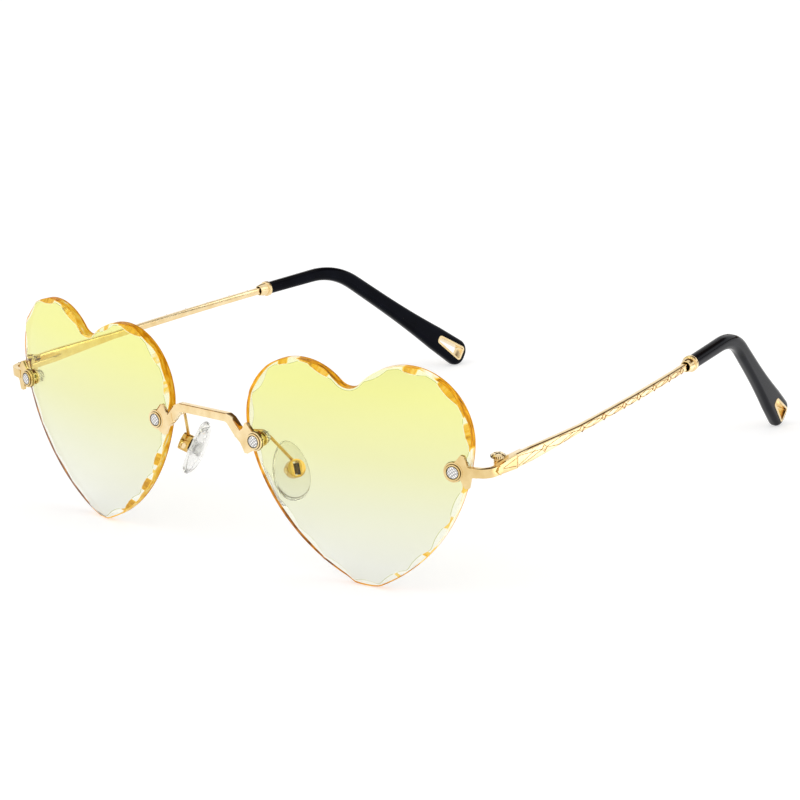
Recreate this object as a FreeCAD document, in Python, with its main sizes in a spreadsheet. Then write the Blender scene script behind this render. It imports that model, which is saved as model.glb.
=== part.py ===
import FreeCAD, Part
import math
import os
import re
import Sketcher
from FreeCAD import Placement, Rotation, Vector

# Rimless heart shaped sunglasses, in millimetres and degrees.
# The front faces -Y, the temples run back to +Y, +X is the wearer's left, the floor is Z = 0.
# Each left piece is built once, and its right twin is its mirror image.

doc = FreeCAD.newDocument("heart_sunglasses")
sheet = doc.addObject("Spreadsheet::Sheet", "Sizes")

sizes = {
    # heart outline, measured up from its low tip
    "lobe_radius": 14.6,
    "lobe_offset": 12.9,
    "lobe_height": 33.9,
    "flank_radius": 40.5,
    "heart_tip_radius": 9.0,
    "notch_radius": 4.0,
    # curved lens and where it is held
    "lens_thickness": 2.2,
    "lens_curve_radius": 265.0,
    "lens_crown": 1.18,
    "lens_block": 12.0,
    "lens_middle": 23.5,
    "lens_side": 38.7,
    "lens_forward": -70.95,
    "lens_roll_angle": 2.6,
    "wrap_angle": 8.3,
    "face_angle": 1.4,
    # diamond cut edge
    "facet_reach": 2.2,
    "facet_slope_angle": 32.0,
    "facet_wheel": 9.0,
    "facet_stroke": 14.0,
    # lens mounts, measured from the lens middle
    "screw_height": 5.3,
    "inner_screw_inset": 2.61,
    "outer_screw_inset": 2.87,
    "inner_plate_reach": 5.3,
    "inner_plate_rise": 3.75,
    "outer_plate_reach": 5.3,
    "outer_plate_rise": 3.75,
    "plate_thickness": 0.75,
    "plate_notch_round": 0.6,
    "plate_tip_round": 0.2,
    "boss_radius": 2.1,
    "boss_height": 0.85,
    "collar_radius": 1.68,
    "collar_height": 1.15,
    "head_radius": 1.28,
    "head_seat": 0.65,
    "head_dome": 0.3,
    "screw_radius": 0.6,
    "fit_clearance": 0.03,
    "sleeve_radius": 0.95,
    "washer_radius": 1.7,
    "washer_thickness": 0.45,
    "nut_flats": 2.5,
    "nut_height": 1.35,
    "lug_depth": 1.3,
    "lug_top": 0.6,
    "lug_low": 1.3,
    "lug_width": 0.65,
    "lug_gap": 0.2,
    # bridge bar and necks, measured from the inner screws
    "bar_rise": 4.87,
    "bar_height": 1.8,
    "bar_setback": 0.42,
    "bar_depth": 1.35,
    "neck_run": 7.1,
    "bar_outer_round": 2.0,
    "bar_inner_round": 1.4,
    # hinge pin, measured from the outer screws
    "hinge_out": 5.71,
    "hinge_behind": 6.94,
    "hinge_above": 0.53,
    "temple_inset_angle": 1.2,
    "temple_rise_angle": 1.75,
    # endpiece strip
    "strip_thickness": 1.2,
    "strip_height": 1.9,
    "strip_inner": 1.05,
    "corner_run": 5.95,
    "front_leg": 4.9,
    "leg_angle": 12.2,
    "corner_round": 3.2,
    "joint_run": 3.6,
    "joint_gap": 0.05,
    "stud_size": 1.4,
    "stud_height": 0.4,
    "stud_run": 2.7,
    # hinge
    "knuckle_radius": 0.95,
    "knuckle_gap": 0.05,
    "tongue_height": 1.3,
    "hinge_tall": 3.3,
    "hinge_plate": 0.6,
    "hinge_plate_front": 1.9,
    "hinge_plate_back": 2.2,
    "pin_radius": 0.5,
    "pin_clearance": 0.03,
    "thread_clearance": 0.01,
    "pin_head_radius": 1.45,
    "pin_head_height": 0.8,
    "tongue_clearance": 0.12,
    "leaf_length": 5.0,
    # temple strip and ferrule
    "temple_front_height": 2.9,
    "temple_belly_height": 3.0,
    "temple_back_height": 1.6,
    "waist_run": 26.5,
    "temple_curve_radius": 540.0,
    "tip_start": 76.1,
    "ferrule_length": 3.0,
    "ferrule_front_radius": 1.25,
    "ferrule_back_radius": 1.5,
    "ferrule_bore": 1.08,
    "flange_radius": 1.85,
    "flange_length": 0.9,
    # temple tip
    "tip_thickness": 3.0,
    "tip_start_half": 1.45,
    "bend_half": 1.6,
    "paddle_half": 3.6,
    "bend_run": 14.6,
    "bend_radius": 20.0,
    "bend_angle": 40.1,
    "tip_lean_angle": 9.2,
    "paddle_run": 42.9,
    "paddle_round": 3.0,
    "tip_edge_round": 1.25,
    "core_radius": 0.6,
    "core_run": 26.0,
    # window in the tip and its liner
    "window_length": 9.5,
    "window_margin": 1.5,
    "window_wide_half": 2.1,
    "window_narrow_half": 1.1,
    "window_round": 0.9,
    "liner_wall": 0.55,
    "liner_proud": 0.12,
    # nose pads
    "pad_side": 14.1,
    "pad_behind": 11.07,
    "pad_drop": 9.48,
    "pad_splay_angle": 25.0,
    "pad_lean_angle": 24.0,
    "pad_half_length": 6.5,
    "pad_half_width": 4.1,
    "pad_half_thickness": 2.0,
    "pad_flat": 0.9,
    "insert_radius": 1.45,
    "insert_thickness": 0.6,
    "stem_thickness": 1.1,
    "stem_width": 2.2,
    "stem_top": 3.4,
    "pivot_height": 2.65,
    "box_radius": 2.0,
    "box_bottom": 1.55,
    "box_top": 3.75,
    "slot_half_width": 0.65,
    "slot_half_length": 1.5,
    "pad_screw_radius": 0.4,
    "pad_screw_head": 0.75,
    "pad_screw_head_height": 0.4,
    # pad arms, measured from the inner screws
    "arm_radius": 0.45,
    "arm_bend_radius": 1.6,
    "arm_root_inset": 5.47,
    "arm_root_rise": 1.62,
    "arm_root_depth": 0.6,
    "arm_knee_inset": 2.27,
    "arm_knee_behind": 5.77,
    "arm_knee_rise": 0.42,
    "arm_socket": 0.3,
    "overrun": 1.0,
}
flank_facets = 5
lobe_facets = 4

# Outlines as shares: of each plate's reach and rise from its screw, and of the neck's run and the bar's rise.
# Each plate corner is left sharp or rounded as a tip or as a notch.
inner_plate_shares = [
    (-0.06, 0.56, "sharp"), (-0.33, 1.0, "tip"), (-0.43, 1.0, "tip"), (-0.57, 0.63, "sharp"),
    (-0.75, 0.43, "notch"), (-0.92, 0.61, "sharp"), (-1.0, 0.08, "sharp"), (-0.77, -0.13, "notch"),
    (-0.62, -0.48, "sharp"), (-0.52, -0.8, "tip"), (-0.36, -0.8, "tip"), (-0.06, -0.56, "sharp"),
]
outer_plate_shares = [
    (0.06, 0.56, "sharp"), (0.32, 1.0, "tip"), (0.47, 0.96, "tip"), (0.6, 0.35, "notch"),
    (1.0, 0.32, "sharp"), (1.0, -0.19, "sharp"), (0.745, -0.2, "notch"), (0.64, -0.85, "tip"),
    (0.47, -0.88, "tip"), (0.29, -0.4, "sharp"), (0.06, -0.56, "sharp"),
]
neck_shares = [(0.81, 0.86), (0.49, 0.33), (0.49, -0.18), (0.575, -0.14), (0.8, 0.17)]
neck_root_share = 1.065
head_crown_shares = [(0.72, 0.7), (0.36, 1.0)]
pin_crown_share = 0.75
edge_break_share = 0.6
thread_share = 0.7


def enter(name, size):
    """Gives a size its row in the sheet, under its own name."""
    sizes[name] = size
    row = list(sizes).index(name) + 1
    sheet.set(f"A{row}", name)
    sheet.set(f"B{row}", str(size))
    sheet.setAlias(f"B{row}", name)
    doc.recompute()


for name in list(sizes):
    enter(name, sizes[name])


def bound(text):
    """Points every size name in a formula at its cell."""
    return re.sub(r"[a-z_]+", lambda word: f"Sizes.{word[0]}" if word[0] in sizes else word[0], text)


def value(text):
    return float(sheet.evalExpression(bound(text)))


def bind(thing, **formulas):
    for name, formula in formulas.items():
        thing.setExpression(name, bound(formula))
    return thing


def new_body(name, place=None):
    body = doc.addObject("PartDesign::Body", name)
    if place:
        body.Placement = place
    return body


def new_sketch(body, name, plane):
    sketch = body.newObject("Sketcher::SketchObject", name)
    origin = [feature for feature in body.Origin.OriginFeatures if feature.Role == plane]
    sketch.AttachmentSupport = (origin[0], [""])
    sketch.MapMode = "FlatFace"
    return sketch


def fix(sketch, kind, *where, formula):
    """Adds one dimension to a sketch and ties it to a formula of sizes."""
    number = sketch.addConstraint(Sketcher.Constraint(kind, *where, value(formula)))
    sketch.setExpression(f"Constraints[{number}]", bound(formula))


def pin_point(sketch, curve, end, across, up):
    fix(sketch, "DistanceX", -1, 1, curve, end, formula=across)
    fix(sketch, "DistanceY", -1, 1, curve, end, formula=up)


def polygon(body, name, plane, points):
    sketch = new_sketch(body, name, plane)
    corners = [Vector(value(across), value(up), 0) for across, up in points]
    count = len(corners)
    for number, corner in enumerate(corners):
        sketch.addGeometry(Part.LineSegment(corner, corners[(number + 1) % count]))
    for number in range(count):
        sketch.addConstraint(Sketcher.Constraint("Coincident", number, 2, (number + 1) % count, 1))
    for number, (across, up) in enumerate(points):
        pin_point(sketch, number, 1, across, up)
    return sketch


def circle(body, name, plane, across, up, radius):
    sketch = new_sketch(body, name, plane)
    middle = Vector(value(across), value(up), 0)
    sketch.addGeometry(Part.Circle(middle, Vector(0, 0, 1), value(radius)))
    fix(sketch, "Radius", 0, formula=radius)
    pin_point(sketch, 0, 3, across, up)
    return sketch


def pad(body, sketch, length, both_ways=False, down=False):
    feature = body.newObject("PartDesign::Pad", sketch.Name + "_pad")
    feature.Profile = sketch
    feature.SideType = "Symmetric" if both_ways else "One side"
    feature.Reversed = down
    bind(feature, Length=length)
    doc.recompute()
    return feature


def pocket_through(body, sketch):
    before = body.Shape.Volume
    feature = body.newObject("PartDesign::Pocket", sketch.Name + "_cut")
    feature.Profile = sketch
    feature.Type = "ThroughAll"
    feature.SideType = "Symmetric"
    doc.recompute()
    assert body.Shape.Volume < before, f"{sketch.Name} cuts nothing"
    return feature


def revolve(body, sketch):
    feature = body.newObject("PartDesign::Revolution", sketch.Name + "_turn")
    feature.Profile = sketch
    feature.ReferenceAxis = (sketch, ["V_Axis"])
    doc.recompute()
    return feature


def upright_edges(body, plane, places):
    """Names the edges that stand square on a sketch plane at the given points."""
    first, second = {"XY_Plane": (0, 1), "YZ_Plane": (1, 2), "XZ_Plane": (0, 2)}[plane]
    names = []
    solid = body.Tip.Shape
    for across, up in places:
        spot = (value(across), value(up))
        for number, edge in enumerate(solid.Edges, 1):
            ends = [vertex.Point for vertex in edge.Vertexes]
            if all(math.hypot(end[first] - spot[0], end[second] - spot[1]) < 1e-4 for end in ends):
                names.append(f"Edge{number}")
    return names


def fillet(body, edges, radius, name):
    base = body.Tip
    feature = body.newObject("PartDesign::Fillet", name)
    feature.Base = (base, edges)
    bind(feature, Radius=radius)
    doc.recompute()
    return feature


def solid(kind, name, place=None, **formulas):
    thing = bind(doc.addObject(kind, name), **formulas)
    if place:
        thing.Placement = place
    doc.recompute()
    return thing


def join(name, *pieces):
    thing = doc.addObject("Part::MultiFuse", name)
    thing.Shapes = list(pieces)
    doc.recompute()
    return thing


def cut(name, base, tool):
    thing = doc.addObject("Part::Cut", name)
    thing.Base = base
    thing.Tool = tool
    doc.recompute()
    return thing


def common(name, base, tool):
    thing = doc.addObject("Part::Common", name)
    thing.Base = base
    thing.Tool = tool
    doc.recompute()
    return thing


def group(name, *pieces):
    thing = doc.addObject("Part::Compound", name)
    thing.Links = list(pieces)
    doc.recompute()
    return thing


def mirror(name, source):
    thing = doc.addObject("Part::Mirroring", name)
    thing.Source = source
    thing.Normal = Vector(1, 0, 0)
    doc.recompute()
    return thing


def both_sides(name, piece):
    """Gives a left piece its label and makes its right twin."""
    piece.Label = "left_" + name
    return [piece, mirror("right_" + name, piece)]


# Places that pieces share: the lens face, the hinge pin, the bent tip and the nose pad.
heart_drop = "((lens_middle - heart_tip_radius) * cos(lens_roll_angle) + heart_tip_radius) * cos(face_angle)"
lens_frame = Placement(
    Vector(value("lens_side"), value("lens_forward"), value(heart_drop)),
    Rotation(value("wrap_angle"), 0, 90 + value("face_angle")),
)
heart_place = Placement(Vector(), Rotation(Vector(0, 0, 1), value("lens_roll_angle")))
heart_place = heart_place * Placement(Vector(0, -value("lens_middle"), 0), Rotation())


def heart_middles():
    """Middles of the low tip, the right flank, the right lobe and the notch."""
    lobe = Vector(value("lobe_offset"), value("lobe_height"), 0)
    low = Vector(0, value("heart_tip_radius"), 0)
    to_lobe = value("flank_radius - lobe_radius")
    to_low = value("flank_radius - heart_tip_radius")
    line = low - lobe
    along = (to_lobe ** 2 - to_low ** 2 + line.Length ** 2) / (2 * line.Length)
    aside = math.sqrt(to_lobe ** 2 - along ** 2)
    line.normalize()
    flank = lobe + line * along + Vector(line.y, -line.x, 0) * aside
    notch = Vector(0, lobe.y + math.sqrt(value("lobe_radius + notch_radius") ** 2 - lobe.x ** 2), 0)
    return low, flank, lobe, notch


def lens_edge(up, side):
    """Where the flank's edge lies across the lens, at a height from its middle, on side +1 or -1."""
    flank = heart_middles()[1]
    middle = heart_place.multVec(Vector(side * flank.x, flank.y, 0))
    return middle.x + side * math.sqrt(value("flank_radius") ** 2 - (value(up) - middle.y) ** 2)


enter("inner_screw_side", -lens_edge("screw_height", -1) - value("inner_screw_inset"))
enter("outer_screw_side", lens_edge("screw_height", 1) - value("outer_screw_inset"))


def lens_seat(side):
    """The place of a lens screw: on the curved front, square to it."""
    centre = Vector(0, 0, value("lens_crown - lens_curve_radius"))
    up = value("screw_height")
    rise = math.sqrt(value("lens_curve_radius") ** 2 - side ** 2 - up ** 2)
    spoke = Vector(side, up, rise)
    square = Rotation(Vector(1, 0, 0), Vector(), spoke, "ZXY")
    return Placement(centre + spoke, square)


washer_seat = "-lens_thickness - washer_radius ^ 2 / (2 * (lens_curve_radius - lens_thickness))"
inner_seat = lens_seat(-value("inner_screw_side"))
outer_seat = lens_seat(value("outer_screw_side"))
inner_spot = lens_frame.multVec(inner_seat.Base)
outer_spot = lens_frame.multVec(outer_seat.Base)
enter("inner_spot_side", inner_spot.x)
enter("inner_spot_height", inner_spot.z)

hinge_frame = Placement(
    outer_spot + Vector(value("hinge_out"), value("hinge_behind"), value("hinge_above")),
    Rotation(value("temple_inset_angle"), 0, value("temple_rise_angle")),
)
strip_middle = "strip_inner + strip_thickness / 2"
curve_start = "joint_run + leaf_length"
curve_frame = hinge_frame * Placement(
    Vector(value(strip_middle + " - temple_curve_radius"), value(curve_start), 0), Rotation())
curve_turn = math.degrees(value(f"(tip_start - ({curve_start})) / temple_curve_radius"))
temple_axis = curve_frame * Placement(Vector(), Rotation(Vector(0, 0, 1), curve_turn))
curve_end = Vector(value("temple_curve_radius"), -value("tip_start"), 0)
temple_axis = temple_axis * Placement(curve_end, Rotation())
tip_frame = temple_axis * Placement(Vector(), Rotation(Vector(0, 1, 0), value("tip_lean_angle")))
pad_frame = Placement(
    Vector(value("pad_side"), inner_spot.y + value("pad_behind"), inner_spot.z - value("pad_drop")),
    Rotation(Vector(0, 0, 1), -value("pad_splay_angle"))
    * Rotation(Vector(0, 1, 0), -value("pad_lean_angle"))
    * Rotation(Vector(0, 1, 0), Vector(0, 0, 1), Vector(1, 0, 0), "ZXY"),
)


def heart_sketch(body):
    """Tip, flanks, lobes and notch as arcs that run smoothly into each other."""
    sketch = new_sketch(body, "heart", "XY_Plane")
    low, flank, lobe, notch = heart_middles()
    low_turn = math.atan2(low.y - flank.y, -flank.x)
    side_turn = math.atan2(lobe.y - flank.y, lobe.x - flank.x)
    notch_turn = math.atan2(notch.y - lobe.y, -lobe.x)
    flip = math.pi
    arcs = [
        (low, "heart_tip_radius", -flip - low_turn, low_turn),
        (flank, "flank_radius", low_turn, side_turn),
        (lobe, "lobe_radius", side_turn, notch_turn),
        (notch, "notch_radius", -notch_turn, notch_turn - flip),
        (Vector(-lobe.x, lobe.y, 0), "lobe_radius", flip - notch_turn, flip - side_turn),
        (Vector(-flank.x, flank.y, 0), "flank_radius", flip - side_turn, flip - low_turn),
    ]
    for middle, radius, start, end in arcs:
        ring = Part.Circle(middle, Vector(0, 0, 1), value(radius))
        sketch.addGeometry(Part.ArcOfCircle(ring, start, end))
    meetings = [(0, 2, 1, 1), (1, 2, 2, 1), (2, 2, 3, 2), (3, 1, 4, 1), (4, 2, 5, 1), (5, 2, 0, 1)]
    for curve, end, other, start in meetings:
        sketch.addConstraint(Sketcher.Constraint("Tangent", curve, end, other, start))
    for curve in range(len(arcs)):
        fix(sketch, "Radius", curve, formula=arcs[curve][1])
    sketch.addConstraint(Sketcher.Constraint("PointOnObject", 0, 3, -2))
    fix(sketch, "DistanceY", -1, 1, 0, 3, formula="heart_tip_radius")
    pin_point(sketch, 2, 3, "lobe_offset", "lobe_height")
    pin_point(sketch, 4, 3, "-lobe_offset", "lobe_height")
    doc.recompute()
    return sketch, arcs


def facet_wheel(number, point, outward):
    """One pass of the grinding wheel: a cylinder that slopes down over the lens edge."""
    reach = point - outward * value("facet_reach")
    reach.z = value("lens_crown - lens_curve_radius") + math.sqrt(
        value("lens_curve_radius") ** 2 - reach.x ** 2 - reach.y ** 2)
    slope = math.radians(value("facet_slope_angle"))
    axis = outward * math.cos(slope) - Vector(0, 0, math.sin(slope))
    away = outward * math.sin(slope) + Vector(0, 0, math.cos(slope))
    start = reach + away * value("facet_wheel") - axis * value("facet_stroke / 2")
    place = Placement(start, Rotation(Vector(0, 0, 1), axis))
    return solid("Part::Cylinder", f"facet_{number}", place, Radius="facet_wheel", Height="facet_stroke")


def make_lens():
    body = new_body("lens_blank", heart_place)
    sketch, arcs = heart_sketch(body)
    pad(body, sketch, "lens_block", both_ways=True)
    ball_middle = Vector(0, 0, value("lens_crown - lens_curve_radius"))
    ball_place = Placement(ball_middle, Rotation(Vector(1, 0, 0), 90))
    ball = solid("Part::Sphere", "lens_front", ball_place, Radius="lens_curve_radius")
    hollow = solid("Part::Sphere", "lens_back", ball_place, Radius="lens_curve_radius - lens_thickness")
    blank = common("curved_lens", body, cut("lens_shell", ball, hollow))
    wheels = []
    tip, flank, lobe, _, left_lobe, left_flank = arcs
    passes = [
        (tip, 1), (flank, flank_facets), (lobe, lobe_facets),
        (left_lobe, lobe_facets), (left_flank, flank_facets),
    ]
    for (middle, radius, start, end), count in passes:
        for number in range(count):
            turn = start + (end - start) * (number + 0.5) / count
            outward = Vector(math.cos(turn), math.sin(turn), 0)
            spot = heart_place.multVec(middle + outward * value(radius))
            wheels.append(facet_wheel(len(wheels) + 1, spot, heart_place.Rotation.multVec(outward)))
    drills = []
    for name, seat in [("inner", inner_seat), ("outer", outer_seat)]:
        depth = Placement(Vector(0, 0, -value("lens_thickness + overrun")), Rotation())
        drills.append(solid("Part::Cylinder", name + "_lens_hole", seat * depth,
                            Radius="sleeve_radius + fit_clearance", Height="lens_thickness + 2 * overrun"))
    lens = cut("left_lens", blank, join("lens_cuts", *wheels, *drills))
    lens.Placement = lens_frame
    return both_sides("lens", lens)


def make_mount(side, seat, shares):
    """Star shaped plate with a stepped boss for the screw and a lug behind it at the lens edge."""
    body = new_body(side, lens_frame * seat)
    star = [(f"{across} * {side}_plate_reach", f"{up} * {side}_plate_rise") for across, up, _ in shares]
    pad(body, polygon(body, side + "_star", "XY_Plane", star), "plate_thickness")
    for kind in ("notch", "tip"):
        corners = [point for point, row in zip(star, shares) if kind in row]
        fillet(body, upright_edges(body, "XY_Plane", corners), f"plate_{kind}_round", f"{side}_{kind}_rounds")
    pad(body, circle(body, side + "_boss", "XY_Plane", "0", "0", "boss_radius"), "boss_height")
    pad(body, circle(body, side + "_collar", "XY_Plane", "0", "0", "collar_radius"), "collar_height")
    way = math.copysign(1, seat.Base.x)
    sign = "" if way > 0 else "-"
    for end, up in [("top", "lug_top"), ("low", "-lug_low")]:
        reach = abs(lens_edge("screw_height + " + up, way)) - abs(seat.Base.x)
        enter(f"{side}_lug_{end}_reach", reach + value("lug_gap"))
    pad(body, polygon(body, side + "_lug", "XY_Plane", [
        (f"{sign}{side}_lug_top_reach", "lug_top"),
        (f"{sign}({side}_lug_top_reach + lug_width)", "lug_top"),
        (f"{sign}({side}_lug_low_reach + lug_width)", "-lug_low"),
        (f"{sign}{side}_lug_low_reach", "-lug_low"),
    ]), "lug_depth", down=True)
    pocket_through(body, circle(body, side + "_hole", "XY_Plane", "0", "0", "screw_radius + fit_clearance"))
    recess = solid("Part::Cylinder", side + "_recess",
                   lens_frame * seat * Placement(Vector(0, 0, value("head_seat")), Rotation()),
                   Radius="head_radius + fit_clearance", Height="collar_height")
    return cut(side + "_mount", body, recess)


def make_screw(name, seat):
    body = new_body(name, lens_frame * seat)
    tail = f"-(lens_thickness + washer_thickness + nut_height * {thread_share})"
    crown = [(f"head_radius * {out}", f"collar_height + head_dome * {up}") for out, up in head_crown_shares]
    profile = polygon(body, name + "_profile", "XZ_Plane", [
        ("0", tail), ("screw_radius", tail), ("screw_radius", "head_seat"), ("head_radius", "head_seat"),
        ("head_radius", "collar_height"), *crown, ("0", "collar_height + head_dome"),
    ])
    revolve(body, profile)
    return body


def make_ring(name, seat, inner, outer, low, high):
    body = new_body(name, lens_frame * seat)
    corners = [(inner, low), (outer, low), (outer, high), (inner, high)]
    revolve(body, polygon(body, name + "_profile", "XZ_Plane", corners))
    return body


def make_nut(name, seat):
    low = washer_seat + " - washer_thickness"
    place = lens_frame * seat * Placement(Vector(0, 0, value(low + " - nut_height")), Rotation())
    hexagon = solid("Part::Prism", name + "_hexagon", place,
                    Circumradius="nut_flats / sqrt(3)", Height="nut_height")
    hexagon.Polygon = 6
    cap = Placement(Vector(0, 0, value(f"nut_height * (1 - {thread_share})")), Rotation())
    bore = solid("Part::Cylinder", name + "_bore", place * cap,
                 Radius="screw_radius + fit_clearance", Height="nut_height")
    return cut(name, hexagon, bore)


def make_fasteners():
    sets = {"lens_screws": [], "lens_sleeves": [], "lens_washers": [], "lens_nuts": []}
    for side, seat in [("inner", inner_seat), ("outer", outer_seat)]:
        bore = "screw_radius + fit_clearance"
        back = washer_seat + " - washer_thickness"
        sleeve = make_ring(side + "_sleeve", seat, bore, "sleeve_radius", "-lens_thickness", "0")
        sets["lens_screws"].append(make_screw(side + "_screw", seat))
        sets["lens_sleeves"].append(sleeve)
        washer = make_ring(side + "_washer", seat, bore, "washer_radius", back, washer_seat)
        sets["lens_washers"].append(washer)
        sets["lens_nuts"].append(make_nut(side + "_nut", seat))
    return [group(name, *pieces, *[mirror("right_" + piece.Name, piece) for piece in pieces])
            for name, pieces in sets.items()]


def make_bridge(arms):
    mount = make_mount("inner", inner_seat, inner_plate_shares)
    body = new_body("bridge_bar", Placement(Vector(0, inner_spot.y + value("bar_setback"), 0), Rotation()))
    top = ("inner_spot_side - neck_run", "inner_spot_height + bar_rise")
    root = (f"inner_spot_side - neck_run * {neck_root_share}", "inner_spot_height + bar_rise - bar_height")
    neck = [(f"inner_spot_side - neck_run * {across}", f"inner_spot_height + bar_rise * {up}")
            for across, up in neck_shares]
    half = [top, *neck, root]
    other = [("-(" + across + ")", up) for across, up in reversed(half)]
    pad(body, polygon(body, "bridge_outline", "XZ_Plane", half + other), "bar_depth")
    outer = [top, neck[0], other[-1], other[-2]]
    fillet(body, upright_edges(body, "XZ_Plane", outer), "bar_outer_round", "bar_shoulders")
    fillet(body, upright_edges(body, "XZ_Plane", [root, other[0]]), "bar_inner_round", "bar_armpits")
    bridge = join("bridge_blank", body, mount, mirror("right_inner_mount", mount))
    return cut("bridge", bridge, arms)


def make_arm():
    into_bar = value("bar_setback - arm_root_depth")
    root = inner_spot + Vector(-value("arm_root_inset"), into_bar, value("arm_root_rise"))
    knee = inner_spot + Vector(-value("arm_knee_inset"), value("arm_knee_behind"), value("arm_knee_rise"))
    end = pad_frame.multVec(Vector(0, value("slot_half_length + arm_socket / 2"), value("pivot_height")))
    first = (knee - root).normalize()
    second = (end - knee).normalize()
    turn = first.getAngle(second)
    radius = value("arm_bend_radius")
    inside = (second - first).normalize()
    set_back = radius * math.tan(turn / 2)
    middle = knee + inside * (radius / math.cos(turn / 2) - radius)
    start_arc = knee - first * set_back
    end_arc = knee + second * set_back
    path = doc.addObject("Part::Feature", "arm_path")
    path.Shape = Part.Wire([
        Part.LineSegment(root, start_arc).toShape(),
        Part.Arc(start_arc, middle, end_arc).toShape(),
        Part.LineSegment(end_arc, end).toShape(),
    ])
    square = Placement(root, Rotation(Vector(0, 0, 1), first))
    ring = solid("Part::Circle", "arm_section", square, Radius="arm_radius")
    arm = doc.addObject("Part::Sweep", "pad_arm")
    arm.Sections = [ring]
    arm.Spine = (path, ["Edge1", "Edge2", "Edge3"])
    arm.Solid = True
    doc.recompute()
    return arm


def make_pad_box(arm):
    body = new_body("pad_box_blank", pad_frame * Placement(Vector(0, 0, value("box_bottom")), Rotation()))
    pad(body, circle(body, "box_outline", "XY_Plane", "0", "0", "box_radius"), "box_top - box_bottom")
    pocket_through(body, polygon(body, "box_slot", "XY_Plane", [
        ("slot_half_width", "slot_half_length"), ("-slot_half_width", "slot_half_length"),
        ("-slot_half_width", "-slot_half_length"), ("slot_half_width", "-slot_half_length"),
    ]))
    side = Vector(-value("box_radius + overrun"), 0, value("pivot_height"))
    across = pad_frame * Placement(side, Rotation(Vector(0, 1, 0), 90))
    hole = solid("Part::Cylinder", "pad_box_hole", across, Radius="pad_screw_radius + fit_clearance",
                 Height="2 * (box_radius + overrun)")
    return both_sides("pad_box", cut("left_pad_box", body, join("pad_box_cuts", hole, arm)))


def make_pad_screw():
    across = Placement(Vector(0, 0, value("pivot_height")), Rotation(Vector(0, 0, 1), 90))
    body = new_body("pad_screw", pad_frame * across)
    top = "box_radius + pad_screw_head_height"
    revolve(body, polygon(body, "pad_screw_profile", "XY_Plane", [
        ("0", "-box_radius"), ("pad_screw_radius", "-box_radius"), ("pad_screw_radius", "box_radius"),
        ("pad_screw_head", "box_radius"),
        ("pad_screw_head", f"box_radius + pad_screw_head_height * {edge_break_share}"),
        (f"pad_screw_head * {pin_crown_share}", top), ("0", top),
    ]))
    return group("pad_screws", body, mirror("right_pad_screw", body))


def make_nose_pad():
    egg = solid("Part::Ellipsoid", "pad_egg", pad_frame,
                Radius1="pad_half_thickness", Radius2="pad_half_width", Radius3="pad_half_length")
    corner = Vector(-value("pad_half_length"), -value("pad_half_length + overrun"), value("pad_flat"))
    flat = solid("Part::Box", "pad_flat_cut", pad_frame * Placement(corner, Rotation()),
                 Length="2 * pad_half_length", Width="2 * (pad_half_length + overrun)",
                 Height="pad_half_thickness")
    seat = solid("Part::Cylinder", "pad_insert_seat",
                 pad_frame * Placement(Vector(0, 0, value("pad_flat - insert_thickness")), Rotation()),
                 Radius="insert_radius", Height="insert_thickness + overrun")
    nose_pad = cut("left_nose_pad", egg, join("pad_cuts", flat, seat))
    body = new_body("pad_insert_blank", pad_frame * Placement(Vector(0, 0, value("pad_flat")), Rotation()))
    disc = circle(body, "insert_disc", "XY_Plane", "0", "0", "insert_radius")
    pad(body, disc, "insert_thickness", down=True)
    pad(body, polygon(body, "insert_stem", "XY_Plane", [
        ("stem_thickness / 2", "stem_width / 2"), ("-stem_thickness / 2", "stem_width / 2"),
        ("-stem_thickness / 2", "-stem_width / 2"), ("stem_thickness / 2", "-stem_width / 2"),
    ]), "stem_top - pad_flat")
    side = Vector(-value("stem_thickness"), 0, value("pivot_height"))
    across = pad_frame * Placement(side, Rotation(Vector(0, 1, 0), 90))
    hole = solid("Part::Cylinder", "stem_hole", across,
                 Radius="pad_screw_radius + fit_clearance", Height="2 * stem_thickness")
    return both_sides("nose_pad", nose_pad) + both_sides("pad_insert", cut("left_pad_insert", body, hole))


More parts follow.
